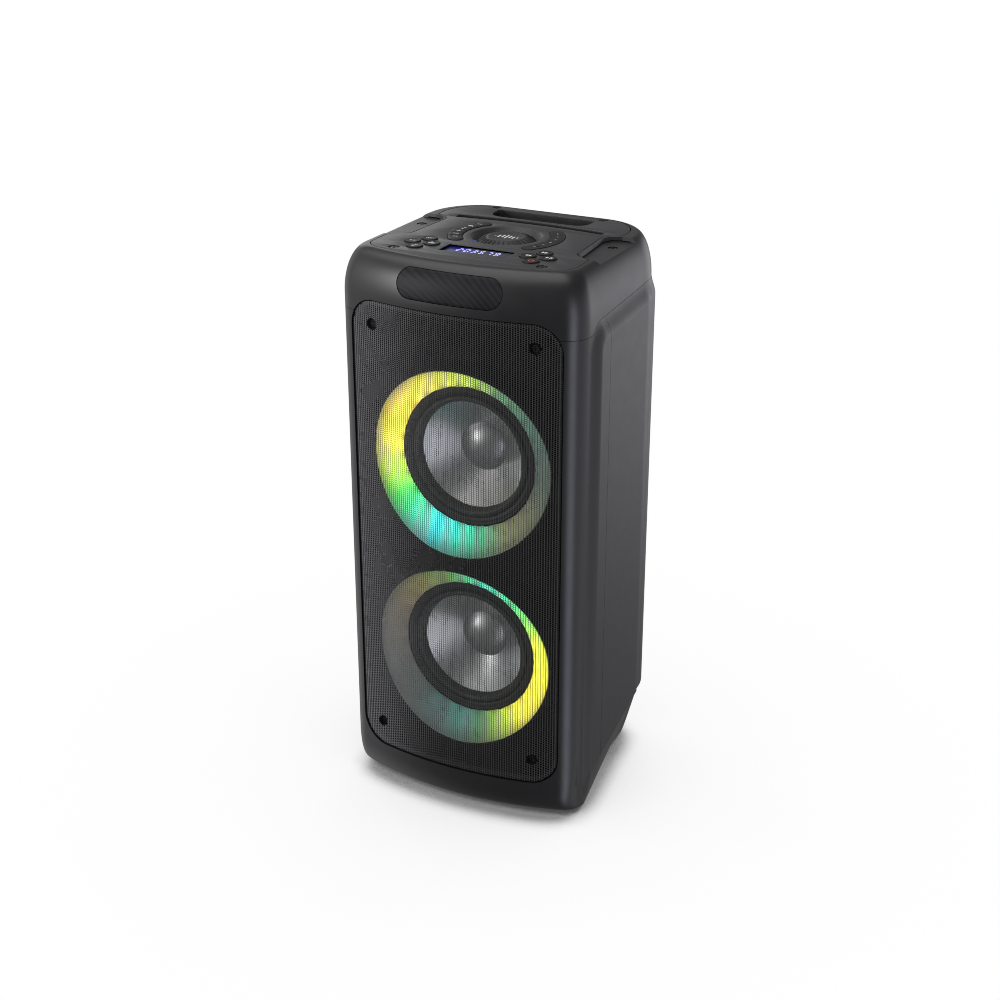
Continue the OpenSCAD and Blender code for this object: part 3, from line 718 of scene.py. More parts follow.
def make_rear_housing():
    near = placed(SKIN[:, SPLIT:])
    near[:, 0, 1] += GAP
    grid = np.concatenate([near, near[:, -2::-1] * [-1, 1, 1]], axis=1)
    shell = Shape().shell(grid, inner_side(grid, WALL)).thing("shell")
    low, high = reach_of("rear_panel")
    opening = box(-62.4, 62.4, low.z + 4.6, high.z - 4.6)
    port = circle(0, centre_of("port_tube").z, 36.6, 96)
    carved = carve(shell, *[cutter(through(hole, DEPTH - 12, DEPTH + 9)) for hole in (opening, port)])
    floor = outset(mirrored(foot_plan()), -4.5)
    joined("rear_housing_shell", [carved, Shape().solid(prism(floor, FOOT + 0.2, FOOT + 3.2))], [CABINET],
           stands_for=["rear_housing"])


# ---- top cap and control panel ----

SIDE_SCREW, SIDE_CUP_R = (108.5, 151), 5.2
PANEL_SCREWS = [(s * x, d) for x, d in ((80.9, 44.7), (62.2, 234.3)) for s in (-1, 1)]
CLUSTER_X, CLUSTER_D, CLUSTER_DX, CLUSTER_DD = 64, 72, 11, 15.5
BUTTON_R = 8.2
CUP_R, FRONT_CUP_R, CUP_DEPTH = 4.6, 5.6, 2.5
WINDOW_HALF, WINDOW_R = 57.6, 15.2
KEY_TURN, KEY_LOW, KEY_HIGH, KEYS = 38, 44, 60, 6
KEY_MID, KEY_STEP = (KEY_LOW + KEY_HIGH) / 2, 2 * KEY_TURN / KEYS
DISPLAY = (36.4, 55, 79)
HANDLE = (56, 200, 229)
GROOVE_HALF, GROOVE_W, GROOVE_R, GROOVE_D = 84, 11, 590, 190.5


def cup_radius(d):
    """Radius of a panel screw's cup, which is wider at the front."""
    return FRONT_CUP_R if d < 100 else CUP_R


def panel_outline():
    """The control panel's edge, with a notch on each side for the pocket."""
    r = BOW - 24.3
    cx, reach = 111.7 - 20, r - 20
    cy = BOW - math.sqrt(reach * reach - cx * cx)
    turn = math.degrees(math.asin(cx / reach))
    notch = [(111.7, cy), (111.7, 84), (92, 99), (88, 168), (94, 178), (105, 182), (105, 195)]
    side = rounded(notch, [0, 5, 9, 6, 5, 4, 0])
    return mirrored(np.concatenate([
        arc(0, BOW, r, -90, -90 + turn, 24),
        arc(cx, cy, 20, -90 + turn, 0, 10)[1:-1],
        side,
        arc(60, 195, 45, 0, 90, 14)[1:],
        [[30, 240], [0, 240]],
    ]))[:-1]


def pocket_outline(side):
    """The hollow beside the panel, open to the cap's rolled edge."""
    points = [(150, 87), (104, 89), (97, 101), (92.6, 166), (97, 174.5), (107, 178), (150, 178)]
    return on_side(rounded(points, [0, 9, 7, 6, 5, 3, 0]), side)


def pill(half, r, z, n=14):
    return np.concatenate([arc(half - r, z, r, -90, 90, n), arc(r - half, z, r, 90, 270, n)])


def make_cap():
    grid = whole(placed(cap_rows()))
    inner, outer = inner_side(grid, CAP_WALL)[:, :-1], grid[:, :-1]
    cap = Shape().solid(np.concatenate([inner[::-1], outer])).thing("cap")
    panel, floor_z = panel_outline(), TOP - POCKET
    cuts = [
        prism(panel, TOP - PANEL_T - 0.3, TOP + 9, 0.8),
        prism(panel, TOP - 30, TOP + 5, -3),
        through(pill(WINDOW_HALF, WINDOW_R, WINDOW_Z), -5, 30),
    ]
    cup = [(0.05, -0.4), (-0.1, -CUP_DEPTH), (-3.1, -CUP_DEPTH), (-3.1, -8), (1, -8), (1, -0.4), (0.05, -0.4)]
    extra = []
    for side in (-1, 1):
        hole = circle(side * SIDE_SCREW[0], SIDE_SCREW[1], SIDE_CUP_R, 40)
        cuts.append(upright(pocket_outline(side), [(0, floor_z), (3.4, TOP + 4)]))
        cuts.append(prism(hole, floor_z - CUP_DEPTH, TOP + 9))
        floor = np.array([(86, 82), (120.4, 84), (120.4, 184), (86, 184)]) * [side, 1]
        pad = Shape().solid(prism(floor, floor_z - 4.2, floor_z - 0.05)).thing("pad")
        pad_cuts = prism(panel, TOP - 20, TOP + 5, -3), prism(hole, TOP - 20, TOP + 5)
        extra.append(carve(pad, *map(cutter, pad_cuts)))
        # the screw's cup is lined with the near-black inner finish: painted shade in the recess
        extra.append(Shape().loft(upright(hole, [(grow, floor_z + z) for grow, z in cup]), slot=1))
    carved = carve(cap, *map(cutter, cuts), grille_cutter())
    joined("top_cap_shell", [carved, *extra], [CAP, SHADED_INNER], stands_for=["top_cap"])


def key_end(turn, r, steps):
    """Half circle that closes the keys' slot at one of its ends, which is a turn from the middle."""
    t = math.radians(KEY_TURN)
    start = KEY_TURN if turn > 0 else 180 - KEY_TURN
    return arc(KEY_MID * math.cos(t), DIAL_D + turn * KEY_MID * math.sin(t), r, start, start + 180, steps)


def crescent(side):
    """Outline of the keys' slot beside the dial, as (x, d)."""
    half = (KEY_HIGH - KEY_LOW) / 2
    return on_side(np.concatenate([
        arc(0, DIAL_D, KEY_HIGH, -KEY_TURN, KEY_TURN, 30),
        key_end(1, half, 14)[1:],
        arc(0, DIAL_D, KEY_LOW, KEY_TURN, -KEY_TURN, 24)[1:],
        key_end(-1, half, 14)[1:-1],
    ]), side)


def groove_outline():
    """The slot that holds a phone, bowed to the back."""
    x = np.linspace(-GROOVE_HALF, GROOVE_HALF, 41)
    middle = GROOVE_D - GROOVE_R + np.sqrt(GROOVE_R ** 2 - x ** 2)
    near = np.column_stack([x, middle - GROOVE_W / 2])
    far = np.column_stack([x, middle + GROOVE_W / 2])[::-1]
    return rounded([*near, *far], ([2.5] + [0] * 39 + [2.5]) * 2)


def handle_outline():
    half, low, high = HANDLE
    return rounded(box(-half, half, low, high), [17, 17, 5, 5], 10)


def display_outline(grow=0.0):
    half, low, high = DISPLAY
    return box(-half - grow, half + grow, low - grow, high + grow)


def button_places():
    """Name and place of each round button."""
    places = (("front", 0, -1), ("rear", 0, 1), ("outer", 1, 0), ("inner", -1, 0))
    for side, which in ((-1, "left"), (1, "right")):
        for place, across, back in places:
            name = "button_power" if (which, place) == ("right", "front") else f"button_{which}_{place}"
            yield name, side * (CLUSTER_X + across * CLUSTER_DX), CLUSTER_D + back * CLUSTER_DD


def plate(name, outlines, top, thick, bevel=0.35):
    """A flat plate from (x, d) outlines, the first the edge and the others holes, with rounded edges."""
    curve = bpy.data.curves.new(name, "CURVE")
    curve.dimensions, curve.fill_mode, curve.bevel_resolution = "2D", "BOTH", 2
    curve.extrude, curve.bevel_depth, curve.offset = (thick / 2 - bevel) * MM, bevel * MM, -bevel * MM
    for outline in outlines:
        outline = outline[np.linalg.norm(outline - np.roll(outline, 1, 0), axis=1) > 0.01]
        spline = curve.splines.new("POLY")
        spline.points.add(len(outline) - 1)
        for point, (x, d) in zip(spline.points, outline):
            point.co = (x * MM, (FRONT + d) * MM, 0, 1)
        spline.use_cyclic_u = True
    obj = linked(name, curve)
    mesh = evaluated(obj)
    bpy.data.objects.remove(obj)
    made = bmesh.new()
    made.from_mesh(mesh)
    bmesh.ops.translate(made, verts=made.verts, vec=(0, 0, (top - thick / 2) * MM))
    bmesh.ops.remove_doubles(made, verts=made.verts, dist=1e-6)
    bmesh.ops.recalc_face_normals(made, faces=made.faces)
    made.to_mesh(mesh)
    made.free()
    mesh.materials.clear()
    return linked(name, mesh)


def tray(outline, top, floor, wall=1.6, slot=0):
    """An open trough under an (x, d) outline."""
    shape = Shape().loft(upright(outline, [(wall, top), (0.05, top), (0, floor)]), end=True, slot=slot)
    return shape.loft(upright(outline, [(wall, floor - wall), (wall, top)]), start=True, slot=slot)


def make_panel():
    holes = [circle(0, DIAL_D, 36.9, 96), handle_outline(), groove_outline(), display_outline()]
    holes += [crescent(side) for side in (-1, 1)]
    holes += [circle(x, d, BUTTON_R + 0.45) for _, x, d in button_places()]
    holes += [circle(x, d, cup_radius(d), 40) for x, d in PANEL_SCREWS]
    well = [(38.9, -3.6), (37.2, -0.5), (36.7, -0.15), (36.2, -0.6), (33, -7.6), (32.4, -8), (5.6, -8),
            (5.6, -10.4), (38.9, -10.4)]
    parts = [
        plate("plate", [panel_outline(), *holes], TOP, PANEL_T),
        Shape().lathe([(r, TOP + z) for r, z in well], (0, FRONT + DIAL_D), "z", 180),
        # the phone groove's trough takes the near-black inner finish: painted shade in the slot
        tray(groove_outline(), TOP - 0.5, TOP - 13.5, slot=1),
    ]
    # Screw cups lined with the near-black inner finish: painted shade in the recesses.
    for x, d in PANEL_SCREWS:
        r = cup_radius(d) + 0.05
        cup = [(r, -0.4), (r, -CUP_DEPTH), (2.1, -CUP_DEPTH), (2.1, -4), (r + 1.4, -4), (r + 1.4, -0.6)]
        parts.append(Shape().lathe([(u, TOP + z) for u, z in cup], (x, FRONT + d), "z", 40, slot=1))
    frame_levels = [(0, TOP - 0.5), (0, TOP - 3.9), (1.6, TOP - 3.9), (1.6, TOP - 0.6), (0, TOP - 0.5)]
    parts.append(Shape().loft(upright(display_outline(), frame_levels)))
    joined("control_panel_plate", parts, [PANEL, SHADED_INNER],
           stands_for=["control_panel"], angle=40)


def make_handle():
    """Deep pocket behind the panel, with fine ledges on the wall that the fingers pull on."""
    edge, ledges = dense(handle_outline(), 6), 10
    inside = [(1.4, TOP - 2), (-0.2, TOP - 2), (-0.2, TOP - 6)]
    inside += [(-0.2 - 0.5 * (i % 2), TOP - 8 - 3.2 * i) for i in range(ledges)]
    inside += [(-2, TOP - 42), (-5, TOP - 45)]
    shape = Shape().loft(upright(edge, inside), end=True)
    shape.loft(upright(edge, [(1.4, TOP - 48), (1.4, TOP - 2)]), start=True)
    shape.piece("handle_pocket", [POCKET_LINING], stands_for=["handle_cup"], slot="inner_plastic")


# ---- buttons, keys and dial ----

def icon_bars(*bars):
    """Mark made of upright bars, each (x, low, high, width)."""
    return [box(x - w / 2, x + w / 2, a, b) for x, a, b, w in bars]


def stroke(points, width):
    """Open line given a width, as a closed outline."""
    points = np.asarray(points, float)
    along = np.gradient(points, axis=0)
    along /= np.linalg.norm(along, axis=1)[:, None]
    side = np.stack([along[:, 1], -along[:, 0]], 1) * width / 2
    return np.concatenate([points + side, (points - side)[::-1]])


def arrow(tip, back, half=2.2):
    """Triangle that points along x."""
    return np.array([(back, -half), (tip, 0), (back, half)])


ICONS = {
    "play": [arrow(0.6, -2.4, 2.4)] + icon_bars((1.6, -2.2, 2.2, 0.8), (3.2, -2.2, 2.2, 0.8)),
    "next": [arrow(0, -2.8), arrow(2.8, 0)],
    "back": [arrow(0, 2.8), arrow(-2.8, 0)],
    "plus": icon_bars((0, -2.6, 2.6, 0.8), (0, -0.4, 0.4, 5.2)),
    "bars": icon_bars((-2.4, -2, 0.5, 1), (-0.8, -2, 2.4, 1), (0.8, -2, 1.2, 1), (2.4, -2, 0, 1)),
    "power": [stroke(arc(0, -0.3, 2.4, 125, 415, 20), 0.7)] + icon_bars((0, 0.4, 3.2, 0.7)),
    "wave": [stroke([(-3, -0.8), (-1.8, 1.4), (-0.6, -1.6), (0.6, 1.6), (1.8, -1.4), (3, 0.8)], 0.7)],
    "note": [stroke(arc(-0.9, -1.7, 0.9, 0, 360, 12), 0.9),
             *icon_bars((0.2, -1.6, 2.6, 0.6), (1.0, 1.8, 2.6, 1.4))],
    "dash": icon_bars((-1.7, -0.5, 0.5, 2.0), (1.4, -0.5, 0.5, 2.4)),
    "spot": icon_bars((0, -0.45, 0.45, 2.2)),
}
BUTTON_ICON = {
    "button_left_front": "note", "button_left_rear": "wave", "button_left_outer": "dash",
    "button_left_inner": "bars", "button_power": "power", "button_right_rear": "next",
    "button_right_outer": "play", "button_right_inner": "back",
}
KEY_ICONS = ["dash", "wave", "plus", "note", "bars", "dash"]


def print_mark(shape, icon, x, d, z, slot, size=1.0, turn=0.0):
    """Prints an icon on a face at height z, as a thin raised layer."""
    c, s = math.cos(turn), math.sin(turn)
    for outline in ICONS[icon]:
        o = outline * size
        o = np.stack([x + o[:, 0] * c - o[:, 1] * s, d + o[:, 0] * s + o[:, 1] * c], 1)
        shape.solid(prism(o, z - 0.35, z), slot=slot)


def make_buttons():
    r, lip = BUTTON_R, 0.9
    for name, x, d in button_places():
        low, high = reach_of(name)
        z = high.z
        face = [(u, z - 0.55 + 0.3 * (u / 7) ** 4) for u in np.linspace(0, r - 1.0, 9)]
        bend = np.radians([20, 40, 60, 80, 90])
        edge = [(r - 1.0 + math.sin(a), z - 1.15 + 0.95 * math.cos(a)) for a in bend]
        foot = [(r, z - 6), (r + lip, z - 6.1), (r + lip, z - 7.4), (r - 1, low.z), (0, low.z)]
        shape = Shape().lathe(face + edge + foot, (x, FRONT + d), "z", 64)
        print_mark(shape, BUTTON_ICON[name], x, d, z - 0.48, 1, 1.15)
        shape.piece(name + "_cap", [BUTTON, RED_INK if name == "button_power" else INK], body=name,
                    stands_for=[name], slot="button_plastic", angle=50)


def key_outline(i):
    """Outline of key i (from 1 at the front) beside the dial, for the right side."""
    low, high = -KEY_TURN + (i - 1) * KEY_STEP, -KEY_TURN + i * KEY_STEP
    r0, r1 = KEY_LOW + 0.45, KEY_HIGH - 0.45
    gap, half = 0.14, (r1 - r0) / 2
    outer = arc(0, DIAL_D, r1, low + gap, high - gap, 10)
    inner = arc(0, DIAL_D, r0, high - gap * 1.3, low + gap * 1.3, 10)
    if i == KEYS:
        outer = np.concatenate([outer[:-1], key_end(1, half, 14)[:-1]])
    if i == 1:
        inner = np.concatenate([inner[:-1], key_end(-1, half, 14)[:-1]])
    return np.concatenate([outer, inner])


def make_keys():
    for side, which, swell in ((-1, "left", 0.4), (1, "right", 0.03)):
        for i in range(1, KEYS + 1):
            name = f"key_{which}_{i}"
            low, high = reach_of(name)
            z = high.z - 0.1
            levels = [(-0.1, low.z), (-0.1, z - 1.4), (0, z - 1.3), (-0.03, z - 0.6), (-0.2, z - 0.42),
                      (-1.2, z - 0.4 + swell * 0.6), (-3.2, z - 0.4 + swell)]
            shape = Shape().solid(upright(on_side(key_outline(i), side), levels))
            a = math.radians(-KEY_TURN + (i - 0.5) * KEY_STEP)
            x, d = side * KEY_MID * math.cos(a), DIAL_D + KEY_MID * math.sin(a)
            icon, size, turn = (KEY_ICONS[i - 1], 0.95, 0.0) if side < 0 else ("spot", 0.8, -a)
            print_mark(shape, icon, x, d, z - 0.34 + swell, 1, size, turn)
            shape.piece(name + "_cap", [BUTTON, INK], body=name,
                        stands_for=[name], slot="button_plastic", angle=40)


def make_dial():
    high = reach_of("volume_dial")[1]
    z, steps, ribs = high.z, 720, 30
    turn = np.arange(steps) * 2 * math.pi / steps
    rib = smooth(np.abs(np.sin(turn * ribs / 2)) * 5)
    # radius, height, and how much of the ribs' depth shows there
    profile = [(0, -0.9, 0), (6, -0.85, 0), (12, -0.6, 0), (16, -0.25, 0), (18, -0.02, 0), (19.2, 0, 0),
               (19.9, -0.2, 0), (20.6, -0.6, 0.5), (22, -1.15, 1), (24, -1.95, 1), (27, -3.3, 1),
               (29, -4.6, 1), (30.4, -5.9, 0.6), (31.2, -6.9, 0), (31.2, -7.0, 0), (30.6, -7.15, 0),
               (8, -7.2, 0), (8, -10.2, 0), (3, -10.2, 0), (3, -9.6, 0), (0, -9.6, 0)]
    rings = []
    for r, dz, share in profile:
        fall = share * -0.7 * (1 - rib)
        radius = r - fall * 0.4
        rings.append(np.stack(
            [radius * np.cos(turn), FRONT + DIAL_D + radius * np.sin(turn), z + dz - fall], 1))
    shape = Shape().loft(rings)
    bars = ((-2.2, 1.2), (-4, 3.4), (-2.8, 5), (-5, 6), (-3.2, 4.2), (-4.4, 2.6), (-1.8, 1.4))
    for i, (near, far) in enumerate(bars):
        bar = box(4 * i - 12.8, 4 * i - 11.2, near, far) + [0, DIAL_D]
        shape.solid(prism(bar, z - 1.4, z - 0.45), slot=1 if i else 2)
    shape.piece("dial_knob", [DIAL, INK, RED_INK], body="dial", stands_for=["volume_dial"],
                slot="dial_plastic", angle=30)
    spots = Shape()
    for place, r, top in ((-158, 32.4, -5.0), (20, 34.2, -2.8)):
        a = math.radians(place)
        x, y = r * math.cos(a), FRONT + DIAL_D + r * math.sin(a)
        spots.lathe([(0, z + top), (0.9, z + top - 0.3), (1.3, z - 8), (0, z - 8)], (x, y), "z", 24)
    spots.piece("dial_lights", [BLUE_GLOW], slot="ring_diffuser")


# ---- display ----

SEGMENTS = dict(a=(0, 1), b=(1, 0.5), c=(1, -0.5), d=(0, -1), e=(-1, -0.5), f=(-1, 0.5), g=(0, 0))
SHOWN = ["abged", "abcdef", "abcdg", "acdfg", "abc", "abcdfg"]


def display_glass():
    """Dark window: deep blue round the digits on one side and a painted hazy reflection, a lighter base
    colour, on the other.
    """
    made = Finish("display_glass", Roughness=0.3, IOR=1.12)
    x = made.parts(made.where)[0]
    # lighter base colour towards +x: a painted reflection
    painted_reflection = made.remap(made.maths("ADD", x, made.times(made.noise(9, 3), 0.004)), -0.016, -0.012, 0, 1)
    made.link(made.ramp(painted_reflection, [(0.0, (0.002, 0.002, 0.006)), (1.0, (0.055, 0.057, 0.066))]), "Base Color")
    away = made.maths("ABSOLUTE", made.maths("ADD", x, 0.02))
    lit = made.maths("MAXIMUM", made.maths("SUBTRACT", 1.0, made.times(away, 55)), 0.0)
    made.link(made.ramp(lit, [(0.0, (0, 0, 0)), (1.0, (0.01, 0.01, 0.22))]), "Emission Color")
    made.shader.inputs["Emission Strength"].default_value = 0.8
    return made.mat


def make_display():
    z = reach_of("display_window")[1].z
    glass = Shape().solid(upright(display_outline(-0.25), [(0, z - 1.6), (0, z - 0.15), (-0.3, z)]))
    glass.piece("display_glass", [display_glass()],
                stands_for=["display_window"], slot="display_lens", angle=30)
    lit, slant = Shape(), 0.5
    width, height, thick, pitch = 2.1, 4.4, 0.9, 8.2
    for k, shown in enumerate(SHOWN):
        cx, cd = -20.5 + k * pitch, (DISPLAY[1] + DISPLAY[2]) / 2 + 2.5
        for seg in shown:
            u, v = SEGMENTS[seg]
            x, d = cx + u * width + v * slant, cd + v * height
            a, b = (thick / 2, height / 2 - 0.5) if u else (width - 0.5, thick / 2)
            lit.solid(prism(box(x - a, x + a, d - b, d + b), z - 0.2, z + 0.03))
    lit.piece("display_digits", [printed("lit_digits", (0.42, 0.42, 1.0), 1.6)], slot="display_lens")


# ---- grille ----

COLUMN_PITCH, HOLE_PITCH = 2.58, 2.13
HOLE_X, HOLE_TIP, HOLE_Z = 0.66, 1.16, 0.86
GRILLE_SCREWS = [(x, z) for x in (-89.1, 89.1) for z in (75.5, 528.4)]


def held_inside(x, z, margin=0.7):
    """Brings points that lie beyond the grille's edge back to it."""
    half, low, high = GRILLE_HIGH.x, GRILLE_LOW.z, GRILLE_HIGH.z
    middle, r = (low + high) / 2, GRILLE_CORNER
    dx, dz = np.abs(x) - (half - r), np.abs(z - middle) - ((high - low) / 2 - r)
    corner = (dx > 0) & (dz > 0)
    share = np.where(corner, np.minimum(1, (r - margin) / np.maximum(np.hypot(dx, dz), 1e-6)), 1.0)
    dx = np.where(corner, dx * share, np.minimum(dx, r - margin))
    dz = np.where(corner, dz * share, np.minimum(dz, r - margin))
    return np.sign(x) * (dx + half - r), middle + np.sign(z - middle) * (dz + (high - low) / 2 - r)


def make_grille():
    half, low, high = GRILLE_HIGH.x, GRILLE_LOW.z, GRILLE_HIGH.z
    cols, rows = int(2 * half / COLUMN_PITCH) + 2, int((high - low) / HOLE_PITCH) + 2
    i, j = np.meshgrid(np.arange(cols), np.arange(rows), indexing="ij")
    x = (i - (cols - 1) / 2) * COLUMN_PITCH
    z = low + (j + 0.5 * (i % 2)) * HOLE_PITCH
    dx = np.abs(x) - (half - GRILLE_CORNER)
    dz = np.abs(z - (low + high) / 2) - ((high - low) / 2 - GRILLE_CORNER)
    edge = GRILLE_CORNER - np.where((dx > 0) & (dz > 0), np.hypot(dx, dz), np.maximum(dx, dz))
    kept = edge > 0.4
    for sx, sz in GRILLE_SCREWS:
        kept &= np.hypot(x - sx, z - sz) > 5.2
    # first point of each hole, in a field with a border of cells that have none
    cell = np.full((cols + 1, rows + 1), -1)
    cell[:cols, :rows][kept] = 6 * np.arange(kept.sum())
    hole = np.array([(HOLE_TIP, 0), (HOLE_X, HOLE_Z), (-HOLE_X, HOLE_Z),
                     (-HOLE_TIP, 0), (-HOLE_X, -HOLE_Z), (HOLE_X, -HOLE_Z)])
    px, pz = held_inside((x[kept][:, None] + hole[:, 0]).ravel(), (z[kept][:, None] + hole[:, 1]).ravel())
    points = np.stack([px, FRONT + GRILLE_SINK + bow_depth(px), pz], 1)
    faces = []
    for a, b in zip(*np.nonzero(kept)):
        beside = b + a % 2
        here, over = cell[a, b], cell[a, b + 1]
        up, down, left = cell[a + 1, beside], cell[a + 1, beside - 1], cell[a - 1, beside]
        if over >= 0:
            faces.append((here + 2, here + 1, over + 5, over + 4))
        if up >= 0:
            faces.append((here, up + 4, up + 3, here + 1))
        if up >= 0 and over >= 0:
            faces.append((here + 1, up + 3, over + 5))
        if down >= 0:
            faces.append((here, here + 5, down + 3, down + 2))
        if left >= 0 and over >= 0:
            faces.append((here + 2, over + 4, left))
    shape = Shape().add(points, faces)
    # The rim takes the near-black inner finish: a painted dark line of shade round the grille.
    levels = [(0, 1.6), (-0.05, 0.6), (-0.3, 0.2), (-0.8, 0.03), (-1.3, 0.03), (-1.3, 0.9), (-0.6, 1.8)]
    rim = band_on_bow(dense(grille_outline(0), 5), [(g, GRILLE_SINK + b) for g, b in levels])
    shape.loft(rim, slot=1)
    # Screw cups take the near-black inner finish: painted shade in the cups.
    cup = [(6.4, 0.05), (4.9, -0.05), (4.5, 0.2), (4.3, 1.2), (4.1, 2.6), (2.1, 2.6), (2.1, 3.2), (6.4, 0.6)]
    for sx, sz in GRILLE_SCREWS:
        start = GRILLE_SINK + float(bow_depth(sx)) + FRONT
        shape.lathe([(r, start + d) for r, d in cup], (sx, sz), "y", 48, slot=1)
    shape.piece("grille_mesh", [GRILLE_PAINT, SHADED_INNER], stands_for=["grille"], slot="grille_steel", angle=60)


# ---- woofers, light rings and tweeter ----

RING_POWER, LAMPS = 1.75, 24


def srgb(*levels):
    """Linear colour of an 8-bit display colour."""
    return tuple(((c / 255 + 0.055) / 1.055) ** 2.4 if c > 10 else c / 3294.6 for c in levels)


# angle round the ring, display colour and brightness
RING_LOOK = {
    "upper": [
        (-180, (255, 246, 60), 1.0), (-162, (206, 250, 50), 1.0), (-148, (90, 240, 90), 0.95),
        (-128, (60, 232, 190), 0.95), (-112, (50, 226, 226), 1.0), (-95, (36, 225, 190), 0.85),
        (-80, (60, 205, 150), 0.55), (-62, (140, 150, 80), 0.42), (-40, (140, 140, 85), 0.30),
        (-15, (105, 135, 110), 0.2), (15, (95, 140, 125), 0.2), (40, (95, 155, 130), 0.34),
        (65, (110, 175, 120), 0.5), (85, (180, 215, 80), 0.75), (105, (215, 225, 80), 0.85),
        (125, (240, 226, 90), 0.92), (150, (255, 226, 70), 1.0), (180, (255, 246, 60), 1.0),
    ],
    "lower": [
        (-180, (112, 104, 82), 0.28), (-155, (92, 96, 92), 0.22), (-130, (65, 105, 95), 0.17),
        (-112, (35, 125, 120), 0.32), (-92, (50, 140, 125), 0.50), (-78, (75, 160, 80), 0.45),
        (-62, (190, 225, 60), 0.72), (-42, (250, 240, 50), 1.0), (-15, (255, 245, 45), 1.0),
        (15, (240, 250, 60), 1.0), (32, (140, 240, 90), 0.95), (50, (80, 225, 140), 0.85),
        (75, (70, 215, 185), 0.8), (92, (85, 200, 140), 0.65), (108, (120, 165, 70), 0.48),
        (130, (145, 140, 75), 0.40), (155, (130, 115, 75), 0.34), (180, (112, 104, 82), 0.28),
    ],
}


def ring_finish(which):
    """Diffuser lit by a row of coloured lamps round its inner edge."""
    made = Finish("ring_light_" + which, Roughness=0.45, Specular_IOR_Level=0.3)
    x, _, z = made.parts(made.where)
    up = made.maths("SUBTRACT", z, RINGS[which] * MM)
    turn = made.maths("ARCTAN2", up, x)
    stops = [((a + 180) / 360, scaled(srgb(*shown), level)) for a, shown, level in RING_LOOK[which]]
    colour = made.ramp(made.remap(turn, -math.pi, math.pi, 0, 1), stops)
    across = made.remap(made.length(x, up), 0.074, 0.1, 0, 1)
    fades = ((0.0, 0.62), (0.22, 1.0), (0.62, 0.9), (0.9, 0.45), (1.0, 0.16))
    fade = made.ramp(across, [(place, grey(level)) for place, level in fades])
    lamps = made.times(made.maths("COSINE", made.times(turn, LAMPS)), 0.5)
    inner = made.maths("SUBTRACT", 1.0, made.times(across, 2.6))
    glow = made.maths("ADD", 1.0, made.times(lamps, made.maths("MAXIMUM", inner, 0.0)))
    cloud = made.remap(made.noise(22, 3), 0.3, 0.7, 0.9, 1.1)
    made.link(colour, "Emission Color")
    made.link(made.times(made.times(made.times(fade, glow), cloud), RING_POWER), "Emission Strength")
    made.link(made.ramp(made.noise(12, 3), [(0.3, grey(0.18)), (0.7, grey(0.24))]), "Base Color")
    return made.mat


def make_ring(which):
    """Scalloped funnel from the grille back to the woofer's trim."""
    steps, inner_d, width = 288, 45.0, 24.2
    turn = np.arange(steps) * 2 * math.pi / steps
    edge = 16.6 + bow_depth((RING_R - 0.6) * np.cos(turn))
    front, back = [], []
    for t in np.linspace(0, 1, 21):
        swing = t * math.pi / 2
        scallop = 0.7 * (1 - np.abs(np.sin(turn * LAMPS / 2))) * t ** 4
        r = RING_R - 0.4 - width * (1 - math.cos(swing)) ** 0.85 + scallop
        d = edge + (inner_d - edge) * math.sin(swing) ** 0.85
        for rows, thick in ((front, 0), (back, 1.2 * (0.2 + 0.8 * t))):
            rows.append(np.stack([r * np.cos(turn), FRONT + d + thick, RINGS[which] + r * np.sin(turn)], 1))
    shape = Shape().loft([*front, *back[::-1], front[0]])
    shape.piece("light_ring_" + which + "_skin", [ring_finish(which)], stands_for=["light_ring_" + which],
                slot="ring_diffuser", angle=60)


def cone_finish():
    """Metal-coated cone."""
    made = Finish("cone_silver", Metallic=0.6, Coat_Weight=0.4, Coat_Roughness=0.1)
    made.surface(made.noise(14, 4), 0.3, 0.7, (0.42, 0.425, 0.43), (0.48, 0.485, 0.49), 0.36, 0.44)
    made.bump(made.noise(1.6, 3), 0.25, 0.04)
    return made.mat


CONE = cone_finish()


def turned(profile, which, steps=200):
    """Lathes a (radius, d) outline about a woofer's axis."""
    return Shape().lathe([(r, FRONT + d) for r, d in profile], (0, RINGS[which]), "y", steps)


def make_cone(which):
    """Cone with its dust cap."""
    rim, rim_d, cap_r, cap_d, ball = 58.4, 55.6, 26.0, 80.4, 37.4
    flare = []
    for t in np.linspace(0, 1, 14):
        flare.append((rim - (rim - cap_r) * t, rim_d + (cap_d - rim_d) * (1.18 * t - 0.18 * t * t)))
    crown = cap_d - 10.4
    dome = [cap_r * math.cos(a) ** 0.9 for a in np.linspace(0, math.pi / 2, 12)[1:-1]]
    dome = [(r, crown + ball - math.sqrt(ball * ball - r * r)) for r in dome]
    glue = [(cap_r + 0.1, cap_d + 0.25), (cap_r - 0.25, cap_d - 0.35)]
    front = [(rim + 0.2, 55.0), *flare, *glue, *dome, (0, crown)]
    back = [(0, crown + 1)] + [(r, d + 1.1) for r, d in dome[::-1]] + [(r, d + 0.9) for r, d in flare[::-1]]
    cone = "cone_" + which
    shape = turned(front + back, which)
    shape.piece(cone + "_skin", [CONE], body=cone, stands_for=[cone], slot="cone_silver", angle=25)


